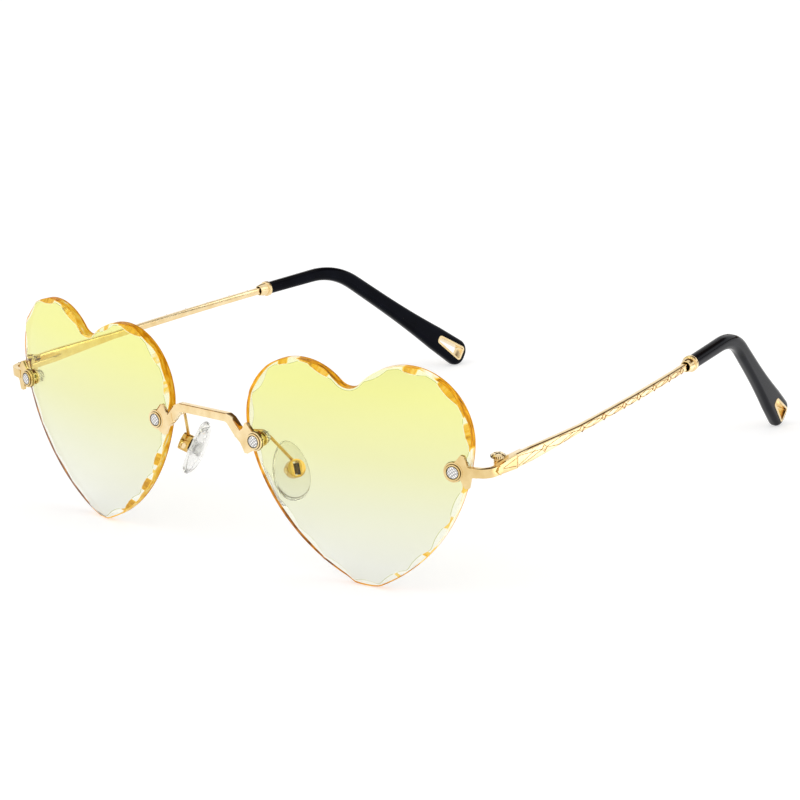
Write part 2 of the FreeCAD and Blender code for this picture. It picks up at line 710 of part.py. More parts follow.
def make_endpiece():
    mount = make_mount("outer", outer_seat, outer_plate_shares)
    plan = new_body("endpiece_plan", hinge_frame)
    outer = "strip_inner + strip_thickness"
    leg_rise = "front_leg * tan(leg_angle)"
    inner_corner = "-corner_run - strip_thickness * tan(leg_angle) + strip_thickness / cos(leg_angle)"
    pad(plan, polygon(plan, "strip_outline", "XY_Plane", [
        (outer, "joint_run"), (outer, "-corner_run"), (outer + " - front_leg", "-corner_run - " + leg_rise),
        (outer + " - front_leg", "-corner_run - " + leg_rise + " + strip_thickness / cos(leg_angle)"),
        ("strip_inner", inner_corner), ("strip_inner", "joint_run"),
    ]), "temple_front_height + overrun", both_ways=True)
    fillet(plan, upright_edges(plan, "XY_Plane", [(outer, "-corner_run")]), "corner_round", "outer_corner")
    bend = upright_edges(plan, "XY_Plane", [("strip_inner", inner_corner)])
    fillet(plan, bend, "corner_round - strip_thickness", "inner_corner")
    side = new_body("endpiece_side", hinge_frame)
    ahead = "-corner_run - " + leg_rise + " - overrun"
    pad(side, polygon(side, "strip_side", "YZ_Plane", [
        (ahead, "strip_height / 2"), ("-stud_run", "strip_height / 2"),
        ("joint_run", "temple_front_height / 2"), ("joint_run", "-temple_front_height / 2"),
        ("-stud_run", "-strip_height / 2"), (ahead, "-strip_height / 2"),
    ]), "2 * (front_leg + overrun)", both_ways=True)
    strip = common("endpiece_strip", plan, side)
    on_edge = Placement(Vector(value(outer), -value("stud_run"), 0), Rotation(Vector(1, 0, 0), 45))
    corner = Placement(Vector(0, -value("stud_size / 2"), -value("stud_size / 2")), Rotation())
    stud = solid("Part::Box", "endpiece_stud", hinge_frame * on_edge * corner,
                 Length="stud_height", Width="stud_size", Height="stud_size")
    return both_sides("endpiece", join("left_endpiece", strip, mount, stud))


def knuckle(name, low, height):
    place = hinge_frame * Placement(Vector(0, 0, value(low)), Rotation())
    disc = solid("Part::Cylinder", name + "_disc", place, Radius="knuckle_radius", Height=height)
    corner = Placement(Vector(0, -value("knuckle_radius"), 0), Rotation())
    web = solid("Part::Box", name + "_web", place * corner, Length="strip_inner - hinge_plate / 2",
                Width="2 * knuckle_radius", Height=height)
    return disc, web


def make_front_hinge():
    ear = "hinge_tall / 2 - tongue_height / 2 - knuckle_gap"
    top = knuckle("top_knuckle", "tongue_height / 2 + knuckle_gap", ear)
    low = knuckle("low_knuckle", "-hinge_tall / 2", ear)
    corner = Vector(value("strip_inner - hinge_plate"), -value("hinge_plate_front"), -value("hinge_tall / 2"))
    plate = solid("Part::Box", "front_hinge_plate", hinge_frame * Placement(corner, Rotation()),
                  Length="hinge_plate", Width="hinge_plate_front + hinge_plate_back", Height="hinge_tall")
    below = Placement(Vector(0, 0, -value("hinge_tall")), Rotation())
    bore = solid("Part::Cylinder", "front_hinge_bore", hinge_frame * below,
                 Radius="pin_radius + thread_clearance", Height="2 * hinge_tall")
    corner = Vector(0, -value("knuckle_radius + tongue_clearance"), -value("tongue_height / 2 + knuckle_gap"))
    relief = solid("Part::Box", "front_hinge_relief", hinge_frame * Placement(corner, Rotation()),
                   Length="strip_inner + overrun", Width="2 * hinge_plate_back + overrun",
                   Height="tongue_height + 2 * knuckle_gap")
    blank = join("front_hinge_blank", *top, *low, plate)
    return both_sides("front_hinge", cut("left_front_hinge", blank, join("front_hinge_cuts", bore, relief)))


def make_temple_hinge():
    low = -value("tongue_height / 2")
    reach = "strip_inner - hinge_plate - tongue_clearance"
    disc = solid("Part::Cylinder", "tongue_disc", hinge_frame * Placement(Vector(0, 0, low), Rotation()),
                 Radius="knuckle_radius", Height="tongue_height")
    tongue = solid("Part::Box", "tongue",
                   hinge_frame * Placement(Vector(-value("knuckle_radius"), 0, low), Rotation()),
                   Length="knuckle_radius + " + reach, Width=curve_start, Height="tongue_height")
    corner = Vector(value(reach), value("joint_run + joint_gap"), low)
    leaf = solid("Part::Box", "leaf", hinge_frame * Placement(corner, Rotation()),
                 Length="hinge_plate + tongue_clearance", Width="leaf_length - joint_gap",
                 Height="tongue_height")
    below = Placement(Vector(0, 0, -value("hinge_tall")), Rotation())
    bore = solid("Part::Cylinder", "tongue_bore", hinge_frame * below,
                 Radius="pin_radius + pin_clearance", Height="2 * hinge_tall")
    blank = join("temple_hinge_blank", disc, tongue, leaf)
    return both_sides("temple_hinge", cut("left_temple_hinge", blank, bore))


def make_hinge_screw():
    body = new_body("hinge_screw", hinge_frame)
    top = "hinge_tall / 2 + pin_head_height"
    revolve(body, polygon(body, "hinge_screw_profile", "XZ_Plane", [
        ("0", "-hinge_tall / 2"), ("pin_radius", "-hinge_tall / 2"), ("pin_radius", "hinge_tall / 2"),
        ("pin_head_radius", "hinge_tall / 2"),
        ("pin_head_radius", f"hinge_tall / 2 + pin_head_height * {edge_break_share}"),
        (f"pin_head_radius * {pin_crown_share}", top), ("0", top),
    ]))
    return group("hinge_screws", body, mirror("right_hinge_screw", body))


def core_pieces(name, radius):
    """The round wire inside a tip: straight, bent and straight again."""
    along = Placement(Vector(0, value("tip_start"), 0), Rotation(Vector(1, 0, 0), -90))
    first = solid("Part::Cylinder", name + "_front", tip_frame * along, Radius=radius, Height="bend_run")
    ring_place = Placement(Vector(0, value("tip_start + bend_run"), -value("bend_radius")), Rotation())
    turn = Rotation(Vector(0, 0, 1), Vector(0, 1, 0), Vector(-1, 0, 0), "ZXY")
    second = solid("Part::Torus", name + "_bend", tip_frame * ring_place * Placement(Vector(), turn),
                   Radius1="bend_radius", Radius2=radius, Angle3="bend_angle")
    down = Placement(Vector(), Rotation(Vector(1, 0, 0), -value("bend_angle")))
    out = Placement(Vector(0, 0, value("bend_radius")), Rotation(Vector(1, 0, 0), -90))
    foot = ring_place * down * out
    third = solid("Part::Cylinder", name + "_back", tip_frame * foot, Radius=radius, Height="core_run")
    return first, second, third


def make_temple():
    """Flat strip: straight behind the hinge, then drawn in at the waist and curved in towards the head."""
    inner_face = hinge_frame * Placement(Vector(value("strip_inner"), 0, 0), Rotation())
    front = "joint_run + joint_gap"
    straight = new_body("temple_root", inner_face)
    pad(straight, polygon(straight, "root_side", "YZ_Plane", [
        (front, "-temple_front_height / 2"), (curve_start, "-temple_belly_height / 2"),
        (curve_start, "temple_belly_height / 2"), (front, "temple_front_height / 2"),
    ]), "strip_thickness")
    blank = new_body("temple_blank", inner_face)
    end = "tip_start + overrun"
    pad(blank, polygon(blank, "temple_side", "YZ_Plane", [
        (curve_start, "-temple_belly_height / 2"), ("waist_run", "-temple_back_height / 2"),
        (end, "-temple_back_height / 2"), (end, "temple_back_height / 2"),
        ("waist_run", "temple_back_height / 2"), (curve_start, "temple_belly_height / 2"),
    ]), f"(tip_start - ({curve_start})) ^ 2 / temple_curve_radius + 2 * strip_thickness", both_ways=True)
    below = curve_frame * Placement(Vector(0, 0, -value("temple_belly_height")), Rotation())
    outside = solid("Part::Cylinder", "temple_outside", below,
                    Radius="temple_curve_radius + strip_thickness / 2", Height="2 * temple_belly_height")
    inside = solid("Part::Cylinder", "temple_inside", below,
                   Radius="temple_curve_radius - strip_thickness / 2", Height="2 * temple_belly_height")
    curved = common("temple_curve", blank, cut("temple_band", outside, inside))
    corner = Vector(-value("temple_belly_height"), value("tip_start"), -value("temple_belly_height"))
    spare = solid("Part::Box", "temple_spare", temple_axis * Placement(corner, Rotation()),
                  Length="2 * temple_belly_height", Width="3 * overrun", Height="2 * temple_belly_height")
    strip = cut("temple_strip", curved, spare)
    return both_sides("temple", join("left_temple", straight, strip, *core_pieces("core", "core_radius")))


def make_ferrule():
    body = new_body("left_ferrule", temple_axis)
    front = "tip_start - ferrule_length"
    neck = "tip_start - flange_length"
    revolve(body, polygon(body, "ferrule_profile", "XY_Plane", [
        ("ferrule_bore", front), ("ferrule_front_radius", front),
        ("ferrule_back_radius", front + " + ferrule_length / 3"), ("ferrule_back_radius", neck),
        ("flange_radius", neck), ("flange_radius", "tip_start"), ("ferrule_bore", "tip_start"),
    ]))
    return both_sides("ferrule", body)


def on_paddle(run, up):
    """A point of the tip's side view, by its run past the bend along the paddle and its height on it."""
    half_turn = "bend_radius * tan(bend_angle / 2)"
    back = f"({half_turn} + {run}) * cos(bend_angle) + ({up}) * sin(bend_angle)"
    rise = f"-({half_turn} + {run}) * sin(bend_angle) + ({up}) * cos(bend_angle)"
    return f"tip_start + bend_run + {half_turn} + {back}", rise


def window_points(inset):
    near = f"(paddle_run - window_margin - window_length + {inset})"
    far = f"(paddle_run - window_margin - {inset})"
    return [
        on_paddle(near, f"window_narrow_half - {inset}"), on_paddle(far, f"window_wide_half - {inset}"),
        on_paddle(far, f"-(window_wide_half - {inset})"), on_paddle(near, f"-(window_narrow_half - {inset})"),
    ]


def make_tip():
    body = new_body("tip_blank", tip_frame)
    corner = "tip_start + bend_run + bend_radius * tan(bend_angle / 2)"
    bend_top = (corner + " + bend_half * tan(bend_angle / 2)", "bend_half")
    bend_low = (corner + " - bend_half * tan(bend_angle / 2)", "-bend_half")
    end_top = on_paddle("paddle_run", "paddle_half")
    end_low = on_paddle("paddle_run", "-paddle_half")
    pad(body, polygon(body, "tip_side", "YZ_Plane", [
        ("tip_start", "tip_start_half"), ("tip_start", "-tip_start_half"),
        bend_low, end_low, end_top, bend_top,
    ]), "tip_thickness", both_ways=True)
    fillet(body, upright_edges(body, "YZ_Plane", [bend_top]), "bend_radius + bend_half", "bend_outside")
    fillet(body, upright_edges(body, "YZ_Plane", [bend_low]), "bend_radius - bend_half", "bend_inside")
    fillet(body, upright_edges(body, "YZ_Plane", [end_top, end_low]), "paddle_round", "paddle_corners")
    rims = []
    half = value("tip_thickness / 2")
    for number, edge in enumerate(body.Tip.Shape.Edges, 1):
        ends = [vertex.Point for vertex in edge.Vertexes]
        on_rim = all(abs(abs(end.x) - half) < 1e-6 for end in ends) and abs(ends[0].x - ends[-1].x) < 1e-6
        at_start = all(abs(end.y - value("tip_start")) < 1e-6 for end in ends)
        if on_rim and not at_start:
            rims.append(f"Edge{number}")
    fillet(body, rims, "tip_edge_round", "soft_edges")
    window = new_body("tip_window", tip_frame)
    opening = window_points("0")
    pad(window, polygon(window, "window", "YZ_Plane", opening), "2 * tip_thickness", both_ways=True)
    fillet(window, upright_edges(window, "YZ_Plane", opening), "window_round", "window_corners")
    bore = core_pieces("bore", "core_radius + fit_clearance")
    tip = cut("left_temple_tip", body, join("tip_cuts", window, *bore))
    liner = new_body("left_tip_eyelet", tip_frame)
    outside = window_points("fit_clearance")
    depth = "tip_thickness + 2 * liner_proud"
    pad(liner, polygon(liner, "liner_outside", "YZ_Plane", outside), depth, both_ways=True)
    outer_round = "window_round - fit_clearance"
    fillet(liner, upright_edges(liner, "YZ_Plane", outside), outer_round, "liner_outer_corners")
    inside = window_points("(fit_clearance + liner_wall)")
    pocket_through(liner, polygon(liner, "liner_inside", "YZ_Plane", inside))
    inner_round = "window_round - fit_clearance - liner_wall"
    fillet(liner, upright_edges(liner, "YZ_Plane", inside), inner_round, "liner_inner_corners")
    return both_sides("temple_tip", tip) + both_sides("tip_eyelet", liner)


left_arm, right_arm = both_sides("pad_arm", make_arm())
pieces = [left_arm, right_arm]
pieces += make_lens()
pieces += make_fasteners()
pieces += [make_bridge(group("both_arms", left_arm, right_arm))]
pieces += make_pad_box(left_arm)
pieces += [make_pad_screw()]
pieces += make_nose_pad()
pieces += make_endpiece()
pieces += make_front_hinge()
pieces += make_temple_hinge()
pieces += [make_hinge_screw()]
pieces += make_temple()
pieces += make_ferrule()
pieces += make_tip()
doc.recompute()

for thing in doc.Objects:
    assert not {"Invalid", "Error"} & set(thing.State), f"{thing.Name} failed: {thing.State}"
for piece in pieces:
    assert not piece.Shape.isNull() and piece.Shape.isValid(), f"{piece.Label} has no valid solid"

os.makedirs("parts", exist_ok=True)
whole = FreeCAD.BoundBox()
for piece in pieces:
    piece.Shape.exportStep(f"parts/{piece.Label}.step")
    whole.add(piece.Shape.BoundBox)
    print(f"{piece.Label}: {len(piece.Shape.Solids)} solids, {piece.Shape.Volume:.1f} cubic mm")
print(f"whole: {whole}")
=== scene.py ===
import math
import bmesh
import bpy
from mathutils import Matrix, Vector


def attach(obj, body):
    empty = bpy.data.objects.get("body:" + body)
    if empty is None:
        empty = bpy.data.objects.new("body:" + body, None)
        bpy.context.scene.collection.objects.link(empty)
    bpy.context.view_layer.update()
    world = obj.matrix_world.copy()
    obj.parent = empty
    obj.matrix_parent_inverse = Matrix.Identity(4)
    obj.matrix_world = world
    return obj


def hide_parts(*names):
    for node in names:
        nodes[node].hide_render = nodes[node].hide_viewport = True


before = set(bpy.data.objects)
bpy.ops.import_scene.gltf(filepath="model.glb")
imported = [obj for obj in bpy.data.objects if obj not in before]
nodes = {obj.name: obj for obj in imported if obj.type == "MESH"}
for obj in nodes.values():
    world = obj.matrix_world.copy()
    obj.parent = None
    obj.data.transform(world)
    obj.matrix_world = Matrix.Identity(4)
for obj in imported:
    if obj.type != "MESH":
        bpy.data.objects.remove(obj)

mm = 0.001
scene = bpy.context.scene
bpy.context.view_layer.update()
mirrorX = Matrix.Scale(-1, 4, (1, 0, 0))
print("frame:", len(nodes), "nodes")


# small helpers

def linear(hexColour):
    parts = [int(hexColour[i:i + 2], 16) / 255 for i in (1, 3, 5)]
    return tuple(c / 12.92 if c <= 0.04045 else ((c + 0.055) / 1.055) ** 2.4 for c in parts) + (1.0,)


def addNode(tree, kind, inputs=None, stops=(), **settings):
    # kind is the type of a new node or the name of one that is there
    # an input is a constant, a socket to link, or a node whose first output is linked
    node = tree.nodes.get(kind) or tree.nodes.new(kind)
    for key, value in settings.items():
        setattr(node, key, value)
    for key, value in (inputs or {}).items():
        source = value.outputs[0] if isinstance(value, bpy.types.Node) else value
        if isinstance(source, bpy.types.NodeSocket):
            tree.links.new(source, node.inputs[key])
        else:
            node.inputs[key].default_value = source
    if stops:
        band = node.color_ramp.elements
        for _ in stops[2:]:  # a new ramp has two already
            band.new(0.5)
        for element, (position, colour) in zip(band, stops):
            element.position = position
            element.color = linear(colour) if isinstance(colour, str) else colour
    return node


def newMaterial(name):
    material = bpy.data.materials.new(name)
    material.use_nodes = True
    return material, material.node_tree


def place(x, y, z, yaw=0, roll=0):
    turn = Matrix.Rotation(math.radians(yaw), 4, "Z") @ Matrix.Rotation(math.radians(roll), 4, "X")
    return Matrix.Translation(Vector((x, y, z)) * mm) @ turn


def between(stops, at):
    # the value at a place along (place, value) stops
    for (a, low), (b, high) in zip(stops, stops[1:]):
        if at <= b:
            return low + (high - low) * max(at - a, 0) / (b - a)
    return stops[-1][1]


def makePiece(name, mesh, body, materials, replaced=(), sharp=30):
    for material in materials:
        mesh.materials.append(material)
    mesh.shade_smooth()
    mesh.set_sharp_from_angle(angle=math.radians(sharp))
    piece = bpy.data.objects.new(name, mesh)
    scene.collection.objects.link(piece)
    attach(piece, body)
    if replaced:
        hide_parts(*replaced)
    return piece


def plainMesh(bm, name, recalc=True):
    if recalc:
        bmesh.ops.recalc_face_normals(bm, faces=bm.faces)
    mesh = bpy.data.meshes.new(name)
    bm.to_mesh(mesh)
    bm.free()
    return mesh


def evaluated(mesh, setUp):
    # runs modifiers on a mesh and hands back the plain result
    helper = bpy.data.objects.new("helper", mesh)
    scene.collection.objects.link(helper)
    setUp(helper)
    graph = bpy.context.evaluated_depsgraph_get()
    result = bpy.data.meshes.new_from_object(helper.evaluated_get(graph))
    helper.modifiers.clear()
    bpy.data.objects.remove(helper)
    return result


def cleanSolid(node):
    # a copy of a solid with its seams closed and its flat faces in one piece
    bm = bmesh.new()
    bm.from_mesh(nodes[node].data)
    bmesh.ops.remove_doubles(bm, verts=bm.verts, dist=0.0005 * mm)
    bmesh.ops.dissolve_limit(bm, angle_limit=math.radians(0.6), verts=bm.verts, edges=bm.edges)
    return bm


def twin(mesh):
    # the mirrored right hand copy, turned the right way out again
    copy = mesh.copy()
    copy.transform(mirrorX)
    copy.flip_normals()
    return copy


# frames that the pieces share, the same sizes as the solids
lensPlace = place(38.7, -70.95, 23.478, 8.3, 91.4)
hingePlace = place(67.601, -60.85, 29.304, 1.2, 1.75)


# materials

def goldMaterial(name, low, high):
    # gold plated copper alloy, die struck and buffed: warm mirror with faint buffing lines and slightly deeper patches
    # the lines are drawn a quarter of a millimetre wide, coarser than real ones, so that they show
    material, tree = newMaterial(name)
    coords = addNode(tree, "ShaderNodeTexCoord").outputs["Object"]
    patch = addNode(tree, "ShaderNodeTexNoise", {"Vector": coords, "Scale": 1 / (3.0 * mm), "Detail": 3.0})
    tone = addNode(tree, "ShaderNodeValToRGB", {"Fac": patch}, stops=[(0.3, low), (0.7, high)])
    lines = addNode(tree, "ShaderNodeMapping", {"Vector": coords, "Scale": (1, 0.12, 1)})
    grain = addNode(tree, "ShaderNodeTexNoise", {"Vector": lines, "Scale": 1 / (0.25 * mm), "Detail": 4.0})
    rough = addNode(tree, "ShaderNodeMapRange", {"Value": grain, "To Min": 0.06, "To Max": 0.14})
    bump = addNode(tree, "ShaderNodeBump", {"Height": grain, "Strength": 0.04, "Distance": 0.02 * mm})
    addNode(tree, "Principled BSDF", {"Base Color": tone, "Roughness": rough, "Normal": bump, "Metallic": 1.0})
    return material


def paintedShadeMaterial(name, low, high):
    # the same plating coloured brown to nearly black: painted shade in the bottom of cut lines and recesses
    material, tree = newMaterial(name)
    coords = addNode(tree, "ShaderNodeTexCoord").outputs["Object"]
    shadeMottle = addNode(tree, "ShaderNodeTexNoise", {"Vector": coords, "Scale": 1 / (0.8 * mm), "Detail": 3.0})
    tone = addNode(tree, "ShaderNodeValToRGB", {"Fac": shadeMottle}, stops=[(0.35, low), (0.7, high)])
    addNode(tree, "Principled BSDF", {"Base Color": tone, "Metallic": 1.0, "Roughness": 0.35})
    return material


def silverMaterial():
    # nickel plated steel, turned and pressed with a crossed hatch: grey sheen broken into small bright and dark squares
    material, tree = newMaterial("nickelSteelTurned")
    coords = addNode(tree, "ShaderNodeTexCoord").outputs["Object"]
    across = addNode(tree, "ShaderNodeMapping", {"Vector": coords, "Scale": (-1, 1, 1)})
    lines = []
    for way in (coords, across):
        wave = addNode(tree, "ShaderNodeTexWave", {"Vector": way, "Scale": 0.3 / (0.34 * mm)},
                       wave_type="BANDS", bands_direction="DIAGONAL")
        lines.append(wave.outputs["Fac"])
    hatch = addNode(tree, "ShaderNodeMath", {0: lines[0], 1: lines[1]}, operation="MULTIPLY")
    tone = addNode(tree, "ShaderNodeValToRGB", {"Fac": hatch}, stops=[(0.05, "#B0AEAE"), (0.4, "#FAF9F6")])
    bump = addNode(tree, "ShaderNodeBump", {"Height": hatch, "Strength": 0.5, "Distance": 0.08 * mm})
    addNode(tree, "Principled BSDF", {"Base Color": tone, "Normal": bump, "Metallic": 1.0, "Roughness": 0.22})
    return material


def tipMaterial():
    # cellulose acetate, moulded and tumble polished: deep black with a wet gloss and a faint orange peel
    material, tree = newMaterial("blackAcetatePolished")
    coords = addNode(tree, "ShaderNodeTexCoord").outputs["Object"]
    cloud = addNode(tree, "ShaderNodeTexNoise", {"Vector": coords, "Scale": 1 / (6.0 * mm), "Detail": 2.0})
    tone = addNode(tree, "ShaderNodeValToRGB", {"Fac": cloud}, stops=[(0.3, "#040406"), (0.75, "#0A0B12")])
    peel = addNode(tree, "ShaderNodeTexNoise", {"Vector": coords, "Scale": 1 / (0.9 * mm), "Detail": 1.0})
    rough = addNode(tree, "ShaderNodeMapRange", {"Value": peel, "To Min": 0.08, "To Max": 0.16})
    bump = addNode(tree, "ShaderNodeBump", {"Height": peel, "Strength": 0.05, "Distance": 0.05 * mm})
    # the gloss is tinted blue: a painted bluish sheen
    addNode(tree, "Principled BSDF", {
        "Base Color": tone, "Roughness": rough, "Normal": bump, "IOR": 1.155, "Specular Tint": linear("#DCE6FF")})
    return material


def padMaterial():
    # clear PVC, moulded in a satin mould: water clear with a soft haze
    material, tree = newMaterial("clearPvcMoulded")
    coords = addNode(tree, "ShaderNodeTexCoord").outputs["Object"]
    haze = addNode(tree, "ShaderNodeTexNoise", {"Vector": coords, "Scale": 1 / (0.5 * mm), "Detail": 2.0})
    rough = addNode(tree, "ShaderNodeMapRange", {"Value": haze, "To Min": 0.12, "To Max": 0.26})
    addNode(tree, "Principled BSDF", {
        "Base Color": linear("#FAFAF8"), "Roughness": rough, "Transmission Weight": 0.92, "IOR": 1.27})
    return material


# the dye by share of the lens height
lensLook = {"height": 49.0, "dye": [(0.1, "#EFF1E9"), (0.36, "#EAECD0"), (0.58, "#EAEBB5"), (0.88, "#F0F19C")]}


def lensMaterial():
    # polycarbonate, dip dyed from the top and hard coated: yellow that fades to clear, with a clean polish
    material, tree = newMaterial("polycarbonateDipDyed")
    coords = addNode(tree, "ShaderNodeTexCoord").outputs["Object"]
    height = addNode(tree, "ShaderNodeSeparateXYZ", {"Vector": coords}).outputs["Z"]
    share = addNode(tree, "ShaderNodeMapRange", {"Value": height, "From Max": lensLook["height"] * mm})
    tone = addNode(tree, "ShaderNodeValToRGB", {"Fac": share}, stops=lensLook["dye"])
    smear = addNode(tree, "ShaderNodeTexNoise", {"Vector": coords, "Scale": 1 / (12 * mm), "Detail": 2.0})
    rough = addNode(tree, "ShaderNodeMapRange", {"Value": smear, "To Min": 0.0, "To Max": 0.03})
    addNode(tree, "Principled BSDF", {
        "Base Color": tone, "Roughness": rough, "Transmission Weight": 1.0, "IOR": 1.3})
    return material


def edgeStreaks(tree, stretch):
    # streaks of 0.8 mm drawn out along or across the edge, and the painted glow that each stretch of the edge holds
    edge = addNode(tree, "ShaderNodeUVMap", uv_map="edgeUv")
    drawn = addNode(tree, "ShaderNodeMapping", {"Vector": edge, "Scale": stretch})
    streak = addNode(tree, "ShaderNodeTexNoise", {"Vector": drawn, "Scale": 1 / 0.8, "Detail": 3.0})
    return streak, addNode(tree, "ShaderNodeAttribute", attribute_name="edgeGlow").outputs["Fac"]


def facetMaterial():
    # the diamond cut flats, polished clear of dye: white windows with streaks of painted amber light standing in for
    # the edge seen through them, and a darker painted line at their inner border for the refraction there
    material, tree = newMaterial("polycarbonateDiamondCutPaintedGlow")
    streak, glow = edgeStreaks(tree, (1.0, 0.2, 1))
    mixed = addNode(tree, "ShaderNodeMath", {0: streak, 1: 0.5, 2: glow}, operation="MULTIPLY_ADD")
    tone = addNode(tree, "ShaderNodeValToRGB", {"Fac": mixed}, stops=[
        (0.0, "#A9AE4E"), (0.14, "#F6F7EE"), (0.4, "#FBFBF2"), (0.56, "#FAC43C"), (0.74, "#EE9206"), (0.9, "#A85A04")])
    addNode(tree, "Principled BSDF", {
        "Base Color": tone, "Roughness": 0.05, "Specular IOR Level": 0.15, "Transmission Weight": 0.9, "IOR": 1.3})
    return material


def wallMaterial():
    # the ground edge, with the light that the dyed plate gathers there painted on: a painted amber glow, partly
    # emitted, with brown streaks along the edge
    material, tree = newMaterial("polycarbonateEdgePaintedGlow")
    streak, glow = edgeStreaks(tree, (0.35, 1.6, 1))
    ring = addNode(tree, "ShaderNodeMath", {0: streak, 1: 0.5}, operation="SUBTRACT")
    mixed = addNode(tree, "ShaderNodeMath", {0: ring, 1: glow}, operation="ADD")
    tone = addNode(tree, "ShaderNodeValToRGB", {"Fac": mixed}, stops=[
        (0.1, "#FBFAF0"), (0.42, "#F7CC48"), (0.66, "#EAA012"), (0.84, "#C07208"), (1.0, "#6A3A08")])
    addNode(tree, "Principled BSDF", {
        "Base Color": tone, "Emission Color": tone, "Emission Strength": 0.12, "Roughness": 0.3,
        "Transmission Weight": 0.3, "IOR": 1.1})
    return material


gold = goldMaterial("platedGoldBuffed", "#E9CC96", "#F9E4B8")
dimmedGold = goldMaterial("platedGoldDimmed", "#DABA7C", "#EDD39C")  # painted shade: the same plating a shade darker, for the endpieces
deepGold = goldMaterial("platedGoldDeeper", "#CC9E48", "#E8C678")  # small parts: the same plating in a deeper yellow
# painted shade: brown plating for the engraved lines and the painted edge line of the bridge
lineShade = paintedShadeMaterial("platedGoldLineShade", "#8F6230", "#C8924E")
shaded = paintedShadeMaterial("platedGoldPaintedShade", "#33290F", "#63501F")  # painted shade where little light gets in: nearly black
silver = silverMaterial()
blackTip = tipMaterial()
clearPad = padMaterial()
lensTint = lensMaterial()
lensFacet = facetMaterial()
lensWall = wallMaterial()
print("materials ready")

# heart lenses with the scalloped cut along the front edge

lens = {
    "lobeRadius": 14.6, "lobeOffset": 12.9, "lobeHeight": 33.9, "flankRadius": 40.5, "lowRadius": 9.0,
    "notchRadius": 4.0, "thickness": 2.2, "curve": 265.0, "crown": 1.18, "middle": 23.5, "hub": 26.0, "roll": 2.6,
    "flankFacets": 5, "lobeFacets": 4, "steps": 14, "rings": 14,
    "reach": 1.0, "slope": 32.0, "deepest": 1.2, "border": 0.1, "wheel": 25.0, "leastBevel": 0.32,
    "rimReach": 1.7, "leastRimReach": 1.3, "backLine": 0.78, "backInset": 0.002,
    "plainWall": 0.22, "backGlow": 0.75, "borderFade": 0.35,
    "screwHeight": 5.3, "innerScrew": 24.701, "outerScrew": 23.404, "holeRadius": 0.98, "drillLength": 12.0,
}

# painted amber glow by arc (low tip, outer flank, outer lobe, notch, inner lobe, inner flank): from share, to share,
# glow rim stops by arc + share: width of the painted amber line along the edge
leftGlowMarks = {
    "facet": [
        (4, 0.36, 0.44, 0.5), (4, 0.19, 0.205, 0.68), (4, 0.06, 0.27, 0.5),
        (2, 0.6, 0.63, 0.42), (2, 0.63, 0.69, 0.56), (2, 0.2, 0.46, 0.5), (2, 0.143, 0.16, 0.72),
        (2, 0.08, 0.093, 0.72), (2, 0.0, 0.17, 0.46),
        (1, 0.78, 0.84, 0.4), (1, 0.55, 0.64, 0.36), (1, 0.34, 0.38, 0.42), (1, 0.11, 0.14, 0.36)],
    "wall": [
        (4, 0.0, 0.3, 0.85), (3, 0.0, 1.0, 0.8), (2, 0.02, 0.48, 0.8), (2, 0.6, 0.69, 0.7),
        (4, 0.36, 0.44, 0.8), (4, 0.44, 1.0, 0.7),
        (5, 0.0, 0.25, 0.72), (5, 0.25, 0.45, 0.82), (5, 0.45, 0.86, 0.92), (5, 0.86, 1.0, 0.8),
        (0, 0.0, 1.0, 0.7), (1, 0.0, 0.28, 0.8), (1, 0.28, 0.42, 0.5), (1, 0.78, 0.84, 0.45)],
    "rim": [(0.0, 0.6), (1.0, 0.3), (1.4, 0.1), (4.4, 0.1), (4.65, 0.9), (5.0, 1.3), (5.6, 1.25), (6.0, 0.6)],
}
rightGlowMarks = {
    "facet": [
        (2, 0.53, 0.69, 0.55), (2, 0.78, 1.0, 0.42), (3, 0.0, 0.8, 0.4),
        (4, 0.03, 0.07, 0.36), (4, 0.1, 0.15, 0.5), (4, 0.26, 0.47, 0.52), (4, 0.62, 0.68, 0.3), (4, 0.8, 0.88, 0.3),
        (5, 0.26, 0.35, 0.56), (5, 0.38, 0.41, 0.36), (5, 0.46, 0.56, 0.6), (5, 0.69, 0.83, 0.6)],
    "wall": [
        (5, 0.0, 0.12, 0.55), (5, 0.12, 1.0, 0.46), (0, 0.0, 1.0, 0.62), (1, 0.0, 1.0, 0.97),
        (2, 0.0, 0.5, 0.7), (2, 0.5, 0.72, 0.74), (2, 0.72, 1.0, 0.5), (3, 0.0, 1.0, 0.45),
        (4, 0.0, 0.2, 0.4), (4, 0.2, 0.5, 0.74), (4, 0.5, 1.0, 0.64)],
    "rim": [(0.0, 0.3), (0.6, 0.4), (1.3, 1.9), (2.0, 1.7), (2.45, 0.1), (5.7, 0.15), (6.0, 0.3)],
}


